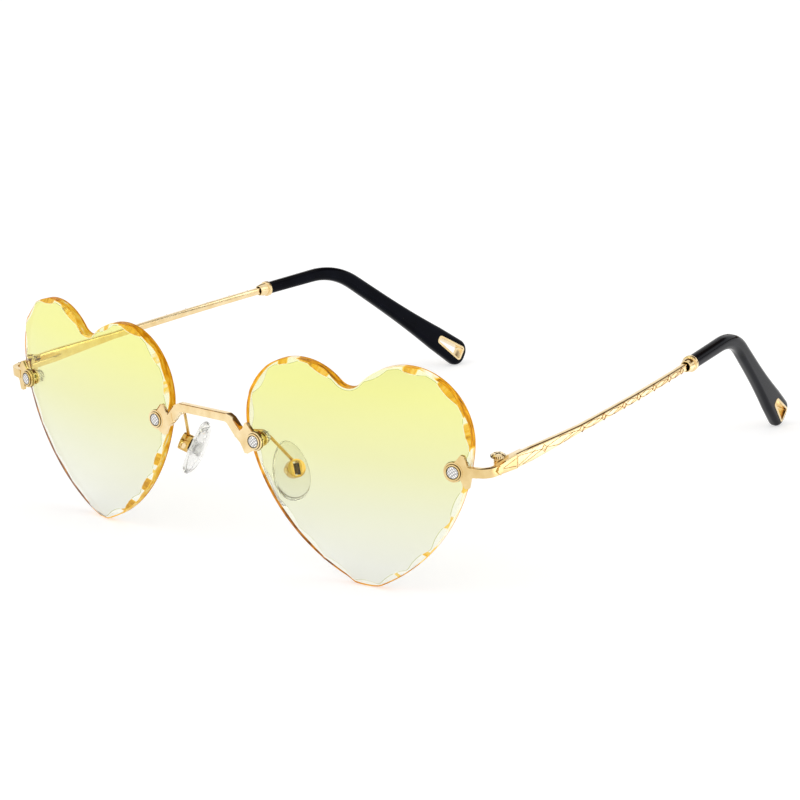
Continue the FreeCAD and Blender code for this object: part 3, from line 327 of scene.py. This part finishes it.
def heartArcs():
    # centre, radius, start, end and facets of each arc, from the low tip up the outer side and back down
    lobe = Vector((lens["lobeOffset"], lens["lobeHeight"]))
    low = Vector((0, lens["lowRadius"]))
    toLobe = lens["flankRadius"] - lens["lobeRadius"]
    toLow = lens["flankRadius"] - lens["lowRadius"]
    line = low - lobe
    along = (toLobe ** 2 - toLow ** 2 + line.length ** 2) / (2 * line.length)
    aside = math.sqrt(toLobe ** 2 - along ** 2)
    line.normalize()
    flank = lobe + line * along + Vector((line.y, -line.x)) * aside
    notch = Vector((0, lobe.y + math.sqrt((lens["lobeRadius"] + lens["notchRadius"]) ** 2 - lobe.x ** 2)))
    lowTurn = math.atan2(low.y - flank.y, -flank.x)
    sideTurn = math.atan2(lobe.y - flank.y, lobe.x - flank.x)
    notchTurn = math.atan2(notch.y - lobe.y, -lobe.x)
    flip = math.pi
    return [
        (low, lens["lowRadius"], -flip - lowTurn, lowTurn, 1),
        (flank, lens["flankRadius"], lowTurn, sideTurn, lens["flankFacets"]),
        (lobe, lens["lobeRadius"], sideTurn, notchTurn, lens["lobeFacets"]),
        (notch, lens["notchRadius"], notchTurn - flip, -notchTurn, 0),
        (Vector((-lobe.x, lobe.y)), lens["lobeRadius"], flip - notchTurn, flip - sideTurn, lens["lobeFacets"]),
        (Vector((-flank.x, flank.y)), lens["flankRadius"], flip - sideTurn, flip - lowTurn, lens["flankFacets"]),
    ]


def markGlow(marks, arc, share, plain):
    for number, low, high, glow in marks:
        if number == arc and low <= share <= high:
            return glow
    return plain


def edgeSamples(marks):
    # outline point, inner border of the cut, depth of the cut at the edge, painted glows of facet and wall,
    # run along the edge, width of the painted amber rim
    slope = math.radians(lens["slope"])
    samples = []
    run = 0.0
    for arc, (middle, radius, start, end, count) in enumerate(heartArcs()):
        bites = count or 1
        for number in range(bites):
            first = start + (end - start) * number / bites
            last = start + (end - start) * (number + 1) / bites
            centreTurn = (first + last) / 2
            out = Vector((math.cos(centreTurn), math.sin(centreTurn)))
            side = Vector((-out.y, out.x))
            centre = middle + out * radius
            for step in range(1, lens["steps"] + 1):
                turn = first + (last - first) * step / lens["steps"]
                spoke = Vector((math.cos(turn), math.sin(turn)))
                point = middle + spoke * radius
                run += radius * abs(last - first) / lens["steps"]
                outward = spoke if count else -spoke
                if count:
                    across = (point - centre).dot(side)
                    lift = lens["wheel"] - math.sqrt(lens["wheel"] ** 2 - across ** 2)
                    reach = (point - centre).dot(out) + lens["reach"] - lift / math.sin(slope)
                else:
                    reach = lens["leastBevel"]
                share = (number + step / lens["steps"]) / bites
                rim = between(marks["rim"], arc + share)
                reach = max(reach + lens["rimReach"] * rim, lens["leastBevel"] + lens["leastRimReach"] * rim)
                facetGlow = markGlow(marks["facet"], arc, share, 0.0)
                wallGlow = markGlow(marks["wall"], arc, share, lens["plainWall"])
                drop = min(reach * math.tan(slope), lens["deepest"])
                samples.append((point, point - outward * reach, drop, (facetGlow, wallGlow), run, rim))
    return samples


def onPlate(spot, depth=0.0, back=False):
    # from the flat outline to the curved front or back of the plate
    roll = math.radians(lens["roll"])
    x, y = spot.x, spot.y - lens["middle"]
    x, y = x * math.cos(roll) - y * math.sin(roll), x * math.sin(roll) + y * math.cos(roll)
    ball = lens["curve"] - (lens["thickness"] if back else 0)
    z = lens["crown"] - lens["curve"] + math.sqrt(ball ** 2 - x * x - y * y) - depth
    return lensPlace @ (Vector((x, y, z)) * mm)


def lensMesh(marks):
    samples = edgeSamples(marks)
    count = len(samples)
    hub = Vector((0, lens["hub"]))
    shares = [math.sin(math.pi / 2 * (k + 1) / lens["rings"]) for k in range(lens["rings"])]
    rows = [[onPlate(hub + (inner - hub) * share) for _, inner, *_ in samples] for share in shares]
    bevelFrom = len(rows) - 1
    for part in ("border", 0.3, "rim", 1.0):  # the first strip is the thin line of the cut, its glow lowered as a painted refraction line, the last one the rim of painted amber glow
        row = []
        for point, inner, drop, _, _, rim in samples:
            width = (point - inner).length
            here = {"border": lens["border"] / width, "rim": 1 - rim / width}.get(part, part)
            row.append(onPlate(inner.lerp(point, here), drop * here))
        rows.append(row)
    bevelTo = len(rows) - 2
    backStrip = bevelTo + 2
    behind = [onPlate(point.lerp(hub, lens["backInset"]), 0.0, True) for point, *_ in samples]
    rows.append([front.lerp(back, lens["backLine"]) for front, back in zip(rows[-1], behind)])
    rows.append(behind)
    for share in reversed(shares[:-1]):
        rows.append([onPlate(hub + (point - hub) * share, 0.0, True) for point, *_ in samples])

    bm = bmesh.new()
    uv = bm.loops.layers.uv.new("edgeUv")
    glowLayer = bm.loops.layers.float.new("edgeGlow")
    grid = [[bm.verts.new(spot) for spot in row] for row in rows]
    for level in range(len(grid) - 1):
        cut = bevelFrom <= level < bevelTo
        wall = bevelTo <= level <= backStrip
        for i in range(count):
            j = (i + 1) % count
            face = bm.faces.new((grid[level][i], grid[level][j], grid[level + 1][j], grid[level + 1][i]))
            face.material_index = 1 if cut else 2 if wall else 0
            for loop, (column, step) in zip(face.loops, ((i, 0), (j, 0), (j, 1), (i, 1))):
                _, _, _, (facetGlow, wallGlow), run, _ = samples[column]
                if j == 0 and column == j:  # the closing face runs on past the last sample
                    run = samples[-1][4] + 0.5
                loop[uv].uv = (run, level + step - bevelFrom)
                if level == bevelFrom:
                    loop[glowLayer] = facetGlow - lens["borderFade"]
                elif level == backStrip:
                    loop[glowLayer] = max(wallGlow, lens["backGlow"])
                else:
                    loop[glowLayer] = facetGlow if cut else wallGlow
    for row, back in ((grid[0], False), (grid[-1], True)):
        pole = bm.verts.new(onPlate(hub, 0.0, back))
        for i in range(count):
            bm.faces.new((pole, row[(i + 1) % count], row[i]))
    return plainMesh(bm, "heartLens")


def seatPlace(side):
    # where a lens screw stands: on the curved front and square to it
    rise = math.sqrt(lens["curve"] ** 2 - side ** 2 - lens["screwHeight"] ** 2)
    spoke = Vector((side, lens["screwHeight"], rise))
    spot = Vector((0, 0, lens["crown"] - lens["curve"])) + spoke
    turn = spoke.to_track_quat("Z", "Y").to_matrix().to_4x4()
    return lensPlace @ Matrix.Translation(spot * mm) @ turn


innerSeat = seatPlace(-lens["innerScrew"])
outerSeat = seatPlace(lens["outerScrew"])


def drilled(mesh):
    bm = bmesh.new()
    radius, length = lens["holeRadius"] * mm, lens["drillLength"] * mm
    for seat in (innerSeat, outerSeat):
        drill = bmesh.ops.create_cone(
            bm, cap_ends=True, segments=32, radius1=radius, radius2=radius, depth=length)
        bmesh.ops.transform(bm, matrix=seat, verts=drill["verts"])
    tool = bpy.data.objects.new("drills", plainMesh(bm, "drills"))
    scene.collection.objects.link(tool)

    def setUp(helper):
        hole = helper.modifiers.new("holes", "BOOLEAN")
        hole.operation = "DIFFERENCE"
        hole.solver = "EXACT"
        hole.object = tool

    result = evaluated(mesh, setUp)
    bpy.data.objects.remove(tool)
    return result


def roundNormals(mesh, flip):
    # true ball normals on front and back, so that nothing ripples in the clear plate
    middle = flip @ lensPlace @ Vector((0, 0, (lens["crown"] - lens["curve"]) * mm))
    normals = [Vector((0, 0, 0)) for _ in mesh.loops]
    for face in mesh.polygons:
        spoke = face.center - middle
        if face.material_index == 0 and abs(face.normal.dot(spoke.normalized())) > 0.99:
            way = 1 if face.normal.dot(spoke) > 0 else -1
            for index in face.loop_indices:
                out = mesh.vertices[mesh.loops[index].vertex_index].co - middle
                normals[index] = out.normalized() * way
    mesh.normals_split_custom_set(normals)


for name, marks, node, flip in (
        ("leftHeartLens", leftGlowMarks, "left_lens", Matrix()),
        ("rightHeartLens", rightGlowMarks, "right_lens", mirrorX)):
    heart = drilled(lensMesh(marks))
    if flip != Matrix():
        heart = twin(heart)
    makePiece(name, heart, "front", [lensTint, lensFacet, lensWall], [node], sharp=18)
    roundNormals(heart, flip)
    print(name, len(heart.polygons), "faces")

# metal and tips: copies of the solids with their edges broken

softEdge = {
    "bridge": 0.22, "endpiece": 0.2, "front_hinge": 0.06, "temple_hinge": 0.08, "temple": 0.36, "ferrule": 0.1,
    "pad_box": 0.1, "pad_insert": 0.06, "tip_eyelet": 0.08, "lens_nuts": 0.15, "lens_washers": 0.08,
    "lens_screws": 0.06, "pad_screws": 0.05, "corner": 32, "innerShare": 0.4, "segments": 4,
}


def softened(node, width, longOnly=0.0, outward=None):
    # breaks the edges that turn a corner; with outward, those on the other sides get a smaller share
    bm = cleanSolid(node)
    weights = bm.edges.layers.float.new("bevel_weight_edge")
    for edge in bm.edges:
        turns = len(edge.link_faces) == 2 and edge.calc_face_angle(0) > math.radians(softEdge["corner"])
        if turns and edge.calc_length() > longOnly * mm:
            outside = outward is None or max(face.normal.dot(outward) for face in edge.link_faces) > 0.7
            edge[weights] = 1.0 if outside else softEdge["innerShare"]
    mesh = plainMesh(bm, node + "Soft", recalc=False)

    def setUp(helper):
        bevel = helper.modifiers.new("edges", "BEVEL")
        bevel.width = width * mm
        bevel.segments = softEdge["segments"]
        bevel.limit_method = "WEIGHT"
        bevel.use_clamp_overlap = not longOnly

    return evaluated(mesh, setUp) if width else mesh


def dress(node, body, slot, material, width=0, sharp=30, **edges):
    mesh = softened(node, width, **edges)
    mesh.materials.clear()
    name = "".join(word.title() for word in node.split("_"))
    return makePiece(name[0].lower() + name[1:], mesh, body, [material], [node], sharp)


pad = {
    "spot": (14.1, -63.547, 19.297), "yaw": -25.0, "roll": -24.0,
    "half": 6.5, "flare": 0.16, "flat": 0.92, "wireSlimmer": 0.13,
}


def padPlace(flip):
    turn = Matrix.Rotation(math.radians(pad["yaw"]), 4, "Z") @ Matrix.Rotation(math.radians(pad["roll"]), 4, "Y")
    axes = Matrix(((0, 0, 1, 0), (1, 0, 0, 0), (0, 1, 0, 0), (0, 0, 0, 1)))
    return flip @ Matrix.Translation(Vector(pad["spot"]) * mm) @ turn @ axes


def shapePad(piece, flip):
    # drawn out to a drop: narrower at the top and wider at the low end
    local = padPlace(flip)
    back = local.inverted()
    for vertex in piece.data.vertices:
        spot = back @ vertex.co
        spot.x *= 1 - pad["flare"] * spot.y / (pad["half"] * mm)
        vertex.co = local @ spot


def clearDisc(piece, flip):
    # the moulded-in disc of the insert is clear; its stem keeps the painted shade material, a painted shadow inside the
    # box
    back = padPlace(flip).inverted()
    piece.data.materials.append(clearPad)
    for face in piece.data.polygons:
        if (back @ face.center).z < pad["flat"] * mm:
            face.material_index = 1


def slim(piece):
    # the drawn wire is a little thinner than the bore that it is soldered into
    shifts = [vertex.normal * pad["wireSlimmer"] * mm for vertex in piece.data.vertices]
    for vertex, shift in zip(piece.data.vertices, shifts):
        vertex.co -= shift


tip = {
    "bend": (59.193, 41.604, 28.283), "end": (50.434, 72.805, 3.134), "flat": (0.9765, 0.1484, -0.156),
    "run": 34.0, "waist": 0.16, "cuts": 22,
}


def waistTip(piece, flip):
    # the tip stays slim behind the bend and flares out to the paddle
    bend = flip @ (Vector(tip["bend"]) * mm)
    along = (flip @ (Vector(tip["end"]) * mm) - bend).normalized()
    up = (flip.to_3x3() @ Vector(tip["flat"])).cross(along)
    bm = bmesh.new()
    bm.from_mesh(piece.data)
    for k in range(1, tip["cuts"]):
        spot = bend + along * tip["run"] * mm * k / tip["cuts"]
        whole = bm.verts[:] + bm.edges[:] + bm.faces[:]
        bmesh.ops.bisect_plane(bm, geom=whole, plane_co=spot, plane_no=along)
    for vertex in bm.verts:
        offset = vertex.co - bend
        share = min(max(offset.dot(along) / (tip["run"] * mm), 0), 1)
        vertex.co -= up * offset.dot(up) * tip["waist"] * math.sin(math.pi * share)
    bm.to_mesh(piece.data)
    bm.free()


dress("bridge", "front", "gold_metal", gold, softEdge["bridge"])
for node in ("lens_nuts", "lens_screws"):
    dress(node, "front", "silver_screw", silver, softEdge[node])
for node in ("lens_washers", "pad_screws"):
    dress(node, "front", "gold_metal", gold, softEdge[node])
for side, flip in (("left", Matrix()), ("right", mirrorX)):
    temple, nosePad = side + "_temple", side + "_nose_pad"
    outward = flip.to_3x3() @ Vector((1, 0, 0))
    # the endpieces take the darker gold, which is painted shade
    for part, material in (("endpiece", dimmedGold), ("front_hinge", gold), ("pad_box", deepGold)):
        dress(side + "_" + part, "front", "gold_metal", material, softEdge[part])
    slim(dress(side + "_pad_arm", "front", "gold_metal", deepGold))
    # the insert's stem is coloured nearly black: a painted shadow inside the box
    clearDisc(dress(side + "_pad_insert", nosePad, "gold_metal", shaded, softEdge["pad_insert"]), flip)
    for part in ("temple_hinge", "ferrule", "tip_eyelet"):
        dress(side + "_" + part, temple, "gold_metal", gold, softEdge[part])
    dress(temple, temple, "gold_metal", gold, softEdge["temple"], longOnly=2.0, outward=outward)
    waistTip(dress(side + "_temple_tip", temple, "black_tip", blackTip, sharp=40), flip)
    shapePad(dress(nosePad, nosePad, "clear_pad", clearPad, sharp=40), flip)
for node, material in (("lens_sleeves", clearPad), ("hinge_screws", gold)):
    nodes[node].data.materials.clear()
    nodes[node].data.materials.append(material)
print("metal and tips dressed")

# engraved lines and pyramid studs along the strips, by runs from the hinge pin

strip = {
    "inner": 1.05, "thickness": 1.2, "curveStart": 8.6, "curveRadius": 540.0,
    "front": (-2.7, 3.5), "temple": (3.75, 74.0), "seam": 3.45, "seamShare": 0.92,
    "halves": ((-2.7, 0.95), (3.6, 1.45), (8.6, 1.5), (26.5, 0.8), (80.0, 0.8)),
    "studs": (-2.7, 12.9, 26.8, 35.4, 43.8, 50.0, 57.0, 64.0, 70.0),
    "line": 0.085, "sunk": 0.045, "steps": 12,
    "studHalf": 0.5, "studRise": 0.3, "diamond": (0.95, 0.75), "diamondShare": 0.9,
    "bay": (
        ((0.06, 0.04), (0.46, 0.7), (0.94, 0.04)),
        ((0.06, -0.04), (0.4, -0.7), (0.8, 0.42)),
        ((0.5, -0.76), (0.94, -0.04))),
}


def onStrip(run, up, lift=0.0):
    # a spot on the outer face and the way it faces: straight behind the hinge, then along the curve
    turn = max(run - strip["curveStart"], 0) / strip["curveRadius"]
    radius = strip["curveRadius"] + strip["thickness"] / 2 + lift
    x = strip["inner"] + strip["thickness"] / 2 - strip["curveRadius"] + radius * math.cos(turn)
    y = min(run, strip["curveStart"]) + radius * math.sin(turn)
    facing = hingePlace.to_3x3() @ Vector((math.cos(turn), math.sin(turn), 0))
    return hingePlace @ (Vector((x, y, up)) * mm), facing


def engravingGroup():
    # sweeps a thin wire along each guide line and sets a pyramid on each stud
    group = bpy.data.node_groups.new("engraving", "GeometryNodeTree")
    face = group.interface
    face.new_socket("Geometry", in_out="INPUT", socket_type="NodeSocketGeometry")
    for label in ("Line Radius", "Stud Half", "Stud Rise"):
        face.new_socket(label, in_out="INPUT", socket_type="NodeSocketFloat")
    for label in ("Line Material", "Stud Material"):
        face.new_socket(label, in_out="INPUT", socket_type="NodeSocketMaterial")
    face.new_socket("Geometry", in_out="OUTPUT", socket_type="NodeSocketGeometry")
    given = addNode(group, "NodeGroupInput").outputs
    path = addNode(group, "GeometryNodeMeshToCurve", {"Mesh": given["Geometry"]})
    section = addNode(group, "GeometryNodeCurvePrimitiveCircle", {"Radius": given["Line Radius"], "Resolution": 8})
    wire = addNode(group, "GeometryNodeCurveToMesh", {"Curve": path, "Profile Curve": section, "Fill Caps": True})
    dark = addNode(group, "GeometryNodeSetMaterial", {"Geometry": wire, "Material": given["Line Material"]})
    point = addNode(group, "GeometryNodeMeshCone", {
        "Vertices": 4, "Radius Top": 0.0, "Radius Bottom": given["Stud Half"], "Depth": given["Stud Rise"]})
    isStud = addNode(group, "GeometryNodeInputNamedAttribute", {"Name": "stud"}, data_type="BOOLEAN")
    facing = addNode(group, "GeometryNodeInputNamedAttribute", {"Name": "facing"}, data_type="FLOAT_VECTOR")
    turn = addNode(group, "FunctionNodeAlignRotationToVector", {"Vector": facing}, axis="Z")
    spread = addNode(group, "GeometryNodeInstanceOnPoints", {
        "Points": given["Geometry"], "Selection": isStud, "Instance": point, "Rotation": turn})
    solid = addNode(group, "GeometryNodeRealizeInstances", {"Geometry": spread})
    bright = addNode(group, "GeometryNodeSetMaterial", {"Geometry": solid, "Material": given["Stud Material"]})
    both = addNode(group, "GeometryNodeJoinGeometry", {"Geometry": dark})
    group.links.new(bright.outputs["Geometry"], both.inputs["Geometry"])
    addNode(group, "NodeGroupOutput", {"Geometry": both})
    return group


engravingNodes = engravingGroup()


def setInput(modifier, label, value):
    for item in modifier.node_group.interface.items_tree:
        if item.item_type == "SOCKET" and item.in_out == "INPUT" and item.name == label:
            modifier[item.identifier] = value


def engrave(name, body, pattern, radius, lineMaterial):
    sizes = {
        "Line Radius": radius * mm, "Stud Half": strip["studHalf"] * mm, "Stud Rise": strip["studRise"] * mm,
        "Line Material": lineMaterial, "Stud Material": gold,
    }

    def setUp(helper):
        modifier = helper.modifiers.new("engraving", "NODES")
        modifier.node_group = engravingNodes
        for label, value in sizes.items():
            setInput(modifier, label, value)

    makePiece(name, evaluated(pattern, setUp), body, [])


def patternMesh(name, spots, edges, facings=None, isStud=None):
    # guide lines and stud points; lines alone have no stud and need no facing
    facings = facings or [Vector((0, 0, 1))] * len(spots)
    isStud = isStud or [False] * len(spots)
    mesh = bpy.data.meshes.new(name)
    mesh.from_pydata(spots, edges, [])
    mesh.attributes.new("stud", "BOOLEAN", "POINT").data.foreach_set("value", isStud)
    mesh.attributes.new("facing", "FLOAT_VECTOR", "POINT").data.foreach_set("vector", [c for v in facings for c in v])
    return mesh


def stripPattern(name, sides, low, high):
    # guide lines between the studs and one point for each stud, cut to the runs that this body holds
    spots, edges, facings, isStud = [], [], [], []

    def add(side, run, up, lift=0.0, stud=False):
        spot, facing = onStrip(run, up, lift)
        spots.append(side @ spot)
        facings.append(side.to_3x3() @ facing)
        isStud.append(stud)
        return len(spots) - 1

    for side in sides:
        for run in strip["studs"]:
            if low <= run <= high:
                add(side, run, 0.0, stud=True)
                wide, tall = strip["diamond"]
                tall = min(tall, strip["diamondShare"] * between(strip["halves"], run))
                corners = ((wide, 0), (0, tall), (-wide, 0), (0, -tall))
                ring = [add(side, run + along, up) for along, up in corners]
                edges.extend(zip(ring, ring[1:] + ring[:1]))
        for start, end in zip(strip["studs"], strip["studs"][1:]):
            for line in strip["bay"]:
                corners = [(start + (end - start) * along, up) for along, up in line]
                last = None
                for (a, upA), (b, upB) in zip(corners, corners[1:]):
                    for step in range(strip["steps"] + 1):
                        run = a + (b - a) * step / strip["steps"]
                        if not low <= run <= high:
                            last = None
                            continue
                        up = (upA + (upB - upA) * step / strip["steps"]) * between(strip["halves"], run)
                        here = add(side, run, up, -strip["sunk"])
                        if last is not None:
                            edges.append((last, here))
                        last = here
        if low <= strip["seam"] <= high:
            tall = strip["seamShare"] * between(strip["halves"], strip["seam"])
            edges.append([add(side, strip["seam"], up, -strip["sunk"]) for up in (-tall, tall)])
    return patternMesh(name, spots, edges, facings, isStud)


# painted shadow rings as radius and height on the boss, then the head of the hinge screw and its cross slot, drawn in
# painted shade
turned = {
    "line": 0.08, "rings": ((1.33, 1.15), (1.72, 0.87), (2.1, 0.4)), "ringSteps": 40,
    "headRadius": 1.45, "headLow": 1.72, "headHigh": 2.15, "teeth": 22, "slotHalf": 0.85, "slotHeight": 2.45,
}


def turnedPattern(name):
    # painted shadow rings around each screw boss, and the milled edge and cross slot of the hinge screws drawn as lines
    # of painted shade
    spots, edges = [], []

    def line(where, points, closed=False):
        first = len(spots)
        spots.extend(where @ (Vector(point) * mm) for point in points)
        edges.extend((k, k + 1) for k in range(first, len(spots) - 1))
        if closed:
            edges.append((len(spots) - 1, first))

    def around(radius, steps):
        turns = [2 * math.pi * k / steps for k in range(steps)]
        return [(radius * math.cos(turn), radius * math.sin(turn)) for turn in turns]

    half, top = turned["slotHalf"], turned["slotHeight"]
    for flip in (Matrix(), mirrorX):
        for seat in (innerSeat, outerSeat):
            for radius, height in turned["rings"]:
                line(flip @ seat, [(x, y, height) for x, y in around(radius, turned["ringSteps"])], closed=True)
        screw = flip @ hingePlace
        for x, y in around(turned["headRadius"], turned["teeth"]):
            line(screw, [(x, y, turned["headLow"]), (x, y, turned["headHigh"])])
        line(screw, [(-half, 0, top), (half, 0, top)])
        line(screw, [(0, -half, top), (0, half, top)])
    return patternMesh(name, spots, edges)


# sizes of the painted dark reflection line on the bridge edge
edgeReflection = {"line": 0.1, "least": 2.0, "below": 0.04, "frontFacing": -0.8, "topFacing": 0.3}


def edgeReflectionPattern(name):
    # a painted dark reflection: a brown line drawn along the upper front edge of the bridge
    bm = cleanSolid("bridge")
    spots, edges = [], []
    for edge in bm.edges:
        normals = [face.normal for face in edge.link_faces]
        if len(normals) == 2 and edge.calc_length() > edgeReflection["least"] * mm:
            front, top = sorted(normals, key=lambda normal: normal.y)
            if front.y < edgeReflection["frontFacing"] and top.z > edgeReflection["topFacing"]:
                edges.append((len(spots), len(spots) + 1))
                spots.extend(vertex.co - top * edgeReflection["below"] * mm for vertex in edge.verts)
    bm.free()
    return patternMesh(name, spots, edges)


for name, body, sides, runs in (
        ("endpieceEngraving", "front", [Matrix(), mirrorX], strip["front"]),
        ("leftTempleEngraving", "left_temple", [Matrix()], strip["temple"]),
        ("rightTempleEngraving", "right_temple", [mirrorX], strip["temple"])):
    engrave(name, body, stripPattern(name, sides, *runs), strip["line"], lineShade)
# the boss rings are painted shadow, the screw edge and slot lines painted shade
engrave("turnedShadeLines", "front", turnedPattern("turnedShadeLines"), turned["line"], shaded)
# a painted dark reflection along the bridge's upper front edge
engrave("bridgeEdgeReflectionLine", "front", edgeReflectionPattern("bridgeEdgeReflectionLine"), edgeReflection["line"], lineShade)
print("engraving done")

# floor, light and camera

studio = {
    "floorSize": 60.0, "floorTone": "#C8C8C8", "floorGlow": 0.54,
    "sky": ((0.0, 1.1), (0.25, 1.1), (0.6, 0.95)),
    "beam": "#5C4526", "beamWay": (-0.5, 0.866, 0.0), "beamFrom": 0.12, "beamFull": 0.32,
    "beamLevels": ((0.0, 1), (0.07, 1), (0.12, 0), (0.4, 0), (0.47, 1), (0.74, 1), (0.82, 0)),
    "aim": (0, 0, 0.02),
    "key": {"spot": (-0.5, -0.9, 1.1), "size": (0.9, 0.6), "power": 2.2},
    "fill": {"spot": (1.1, 0.1, 0.9), "size": (0.7, 0.9), "power": 1.5},
    "side": {"spot": (0.19, 0.06, 1.4), "radius": 0.13, "power": 120.0, "blend": 0.7, "soft": 0.02},
}


def makeFloor():
    # matt acrylic sheet, cast and lit from below: an even white that darkens only where the object stands
    half = studio["floorSize"] / 2
    mesh = bpy.data.meshes.new("floor")
    mesh.from_pydata([(-half, -half, 0), (half, -half, 0), (half, half, 0), (-half, half, 0)], [], [(0, 1, 2, 3)])
    floor = bpy.data.objects.new("floor", mesh)
    scene.collection.objects.link(floor)
    material, tree = newMaterial("whiteAcrylicSheet")
    addNode(tree, "Principled BSDF", {
        "Base Color": linear(studio["floorTone"]), "Roughness": 0.6, "Specular IOR Level": 0.0,
        "Emission Color": linear("#FFFFFF"), "Emission Strength": studio["floorGlow"]})
    mesh.materials.append(material)


def greys(levels):
    return [(position, (level, level, level, 1)) for position, level in levels]


def makeSky():
    world = bpy.data.worlds.new("studio")
    scene.world = world
    world.use_nodes = True
    tree = world.node_tree
    coords = addNode(tree, "ShaderNodeTexCoord").outputs["Generated"]
    height = addNode(tree, "ShaderNodeSeparateXYZ", {"Vector": coords}).outputs["Z"]
    tone = addNode(tree, "ShaderNodeValToRGB", {"Fac": height}, stops=greys(studio["sky"]))
    # brown beams behind the table, low and high, which draw the dark lines along every turned edge
    behind = addNode(tree, "ShaderNodeVectorMath", {0: coords, 1: studio["beamWay"]}, operation="DOT_PRODUCT")
    facing = addNode(tree, "ShaderNodeMapRange", {
        "Value": behind.outputs["Value"], "From Min": studio["beamFrom"], "From Max": studio["beamFull"]})
    level = addNode(tree, "ShaderNodeValToRGB", {"Fac": height}, stops=greys(studio["beamLevels"]))
    beam = addNode(tree, "ShaderNodeMath", {0: facing, 1: level}, operation="MULTIPLY")
    wall = addNode(tree, "ShaderNodeMixRGB", {"Fac": beam, "Color1": tone, "Color2": linear(studio["beam"])})
    addNode(tree, "Background", {"Color": wall, "Strength": 1.0})


def hangLamp(name, kind):
    lamp = bpy.data.lights.new(name, kind)
    lamp.energy = studio[name]["power"]
    light = bpy.data.objects.new(name, lamp)
    scene.collection.objects.link(light)
    light.location = studio[name]["spot"]
    return lamp, light


def addPanel(name):
    # a soft box that looks at the object
    lamp, light = hangLamp(name, "AREA")
    lamp.shape = "RECTANGLE"
    lamp.size, lamp.size_y = studio[name]["size"]
    light.rotation_euler = (Vector(studio["aim"]) - light.location).to_track_quat("-Z", "Y").to_euler()


def addPool(name):
    # a pool of light on the table beside the object, which the temple shows as its white flank
    lamp, light = hangLamp(name, "SPOT")
    lamp.spot_size = 2 * math.atan(studio[name]["radius"] / studio[name]["spot"][2])
    lamp.spot_blend = studio[name]["blend"]
    lamp.shadow_soft_size = studio[name]["soft"]


view = {
    "azimuth": 40.1, "elevation": 16.62, "roll": -2.06, "distance": 0.6152, "target": (5.2, -16.65, 21.5),
    "focal": 121.487, "sensor": 36.0, "near": 0.01, "far": 50,
}


def makeCamera():
    azimuth, elevation, roll = (math.radians(view[key]) for key in ("azimuth", "elevation", "roll"))
    flat = math.cos(elevation)
    back = Vector((math.sin(azimuth) * flat, -math.cos(azimuth) * flat, math.sin(elevation)))
    right = Vector((math.cos(azimuth), math.sin(azimuth), 0))
    up = back.cross(right)
    tilted = right * math.cos(roll) + up * math.sin(roll)
    upright = up * math.cos(roll) - right * math.sin(roll)
    data = bpy.data.cameras.new("photoCamera")
    data.sensor_width = view["sensor"]
    data.lens = view["focal"]
    data.clip_start = view["near"]
    data.clip_end = view["far"]
    camera = bpy.data.objects.new("photoCamera", data)
    scene.collection.objects.link(camera)
    turn = Matrix((tilted, upright, back)).transposed().to_4x4()
    camera.matrix_world = Matrix.Translation(Vector(view["target"]) * mm + back * view["distance"]) @ turn
    scene.camera = camera


makeFloor()
makeSky()
addPanel("key")
addPanel("fill")
addPool("side")
makeCamera()
scene.view_settings.view_transform = "Standard"
print("studio ready")
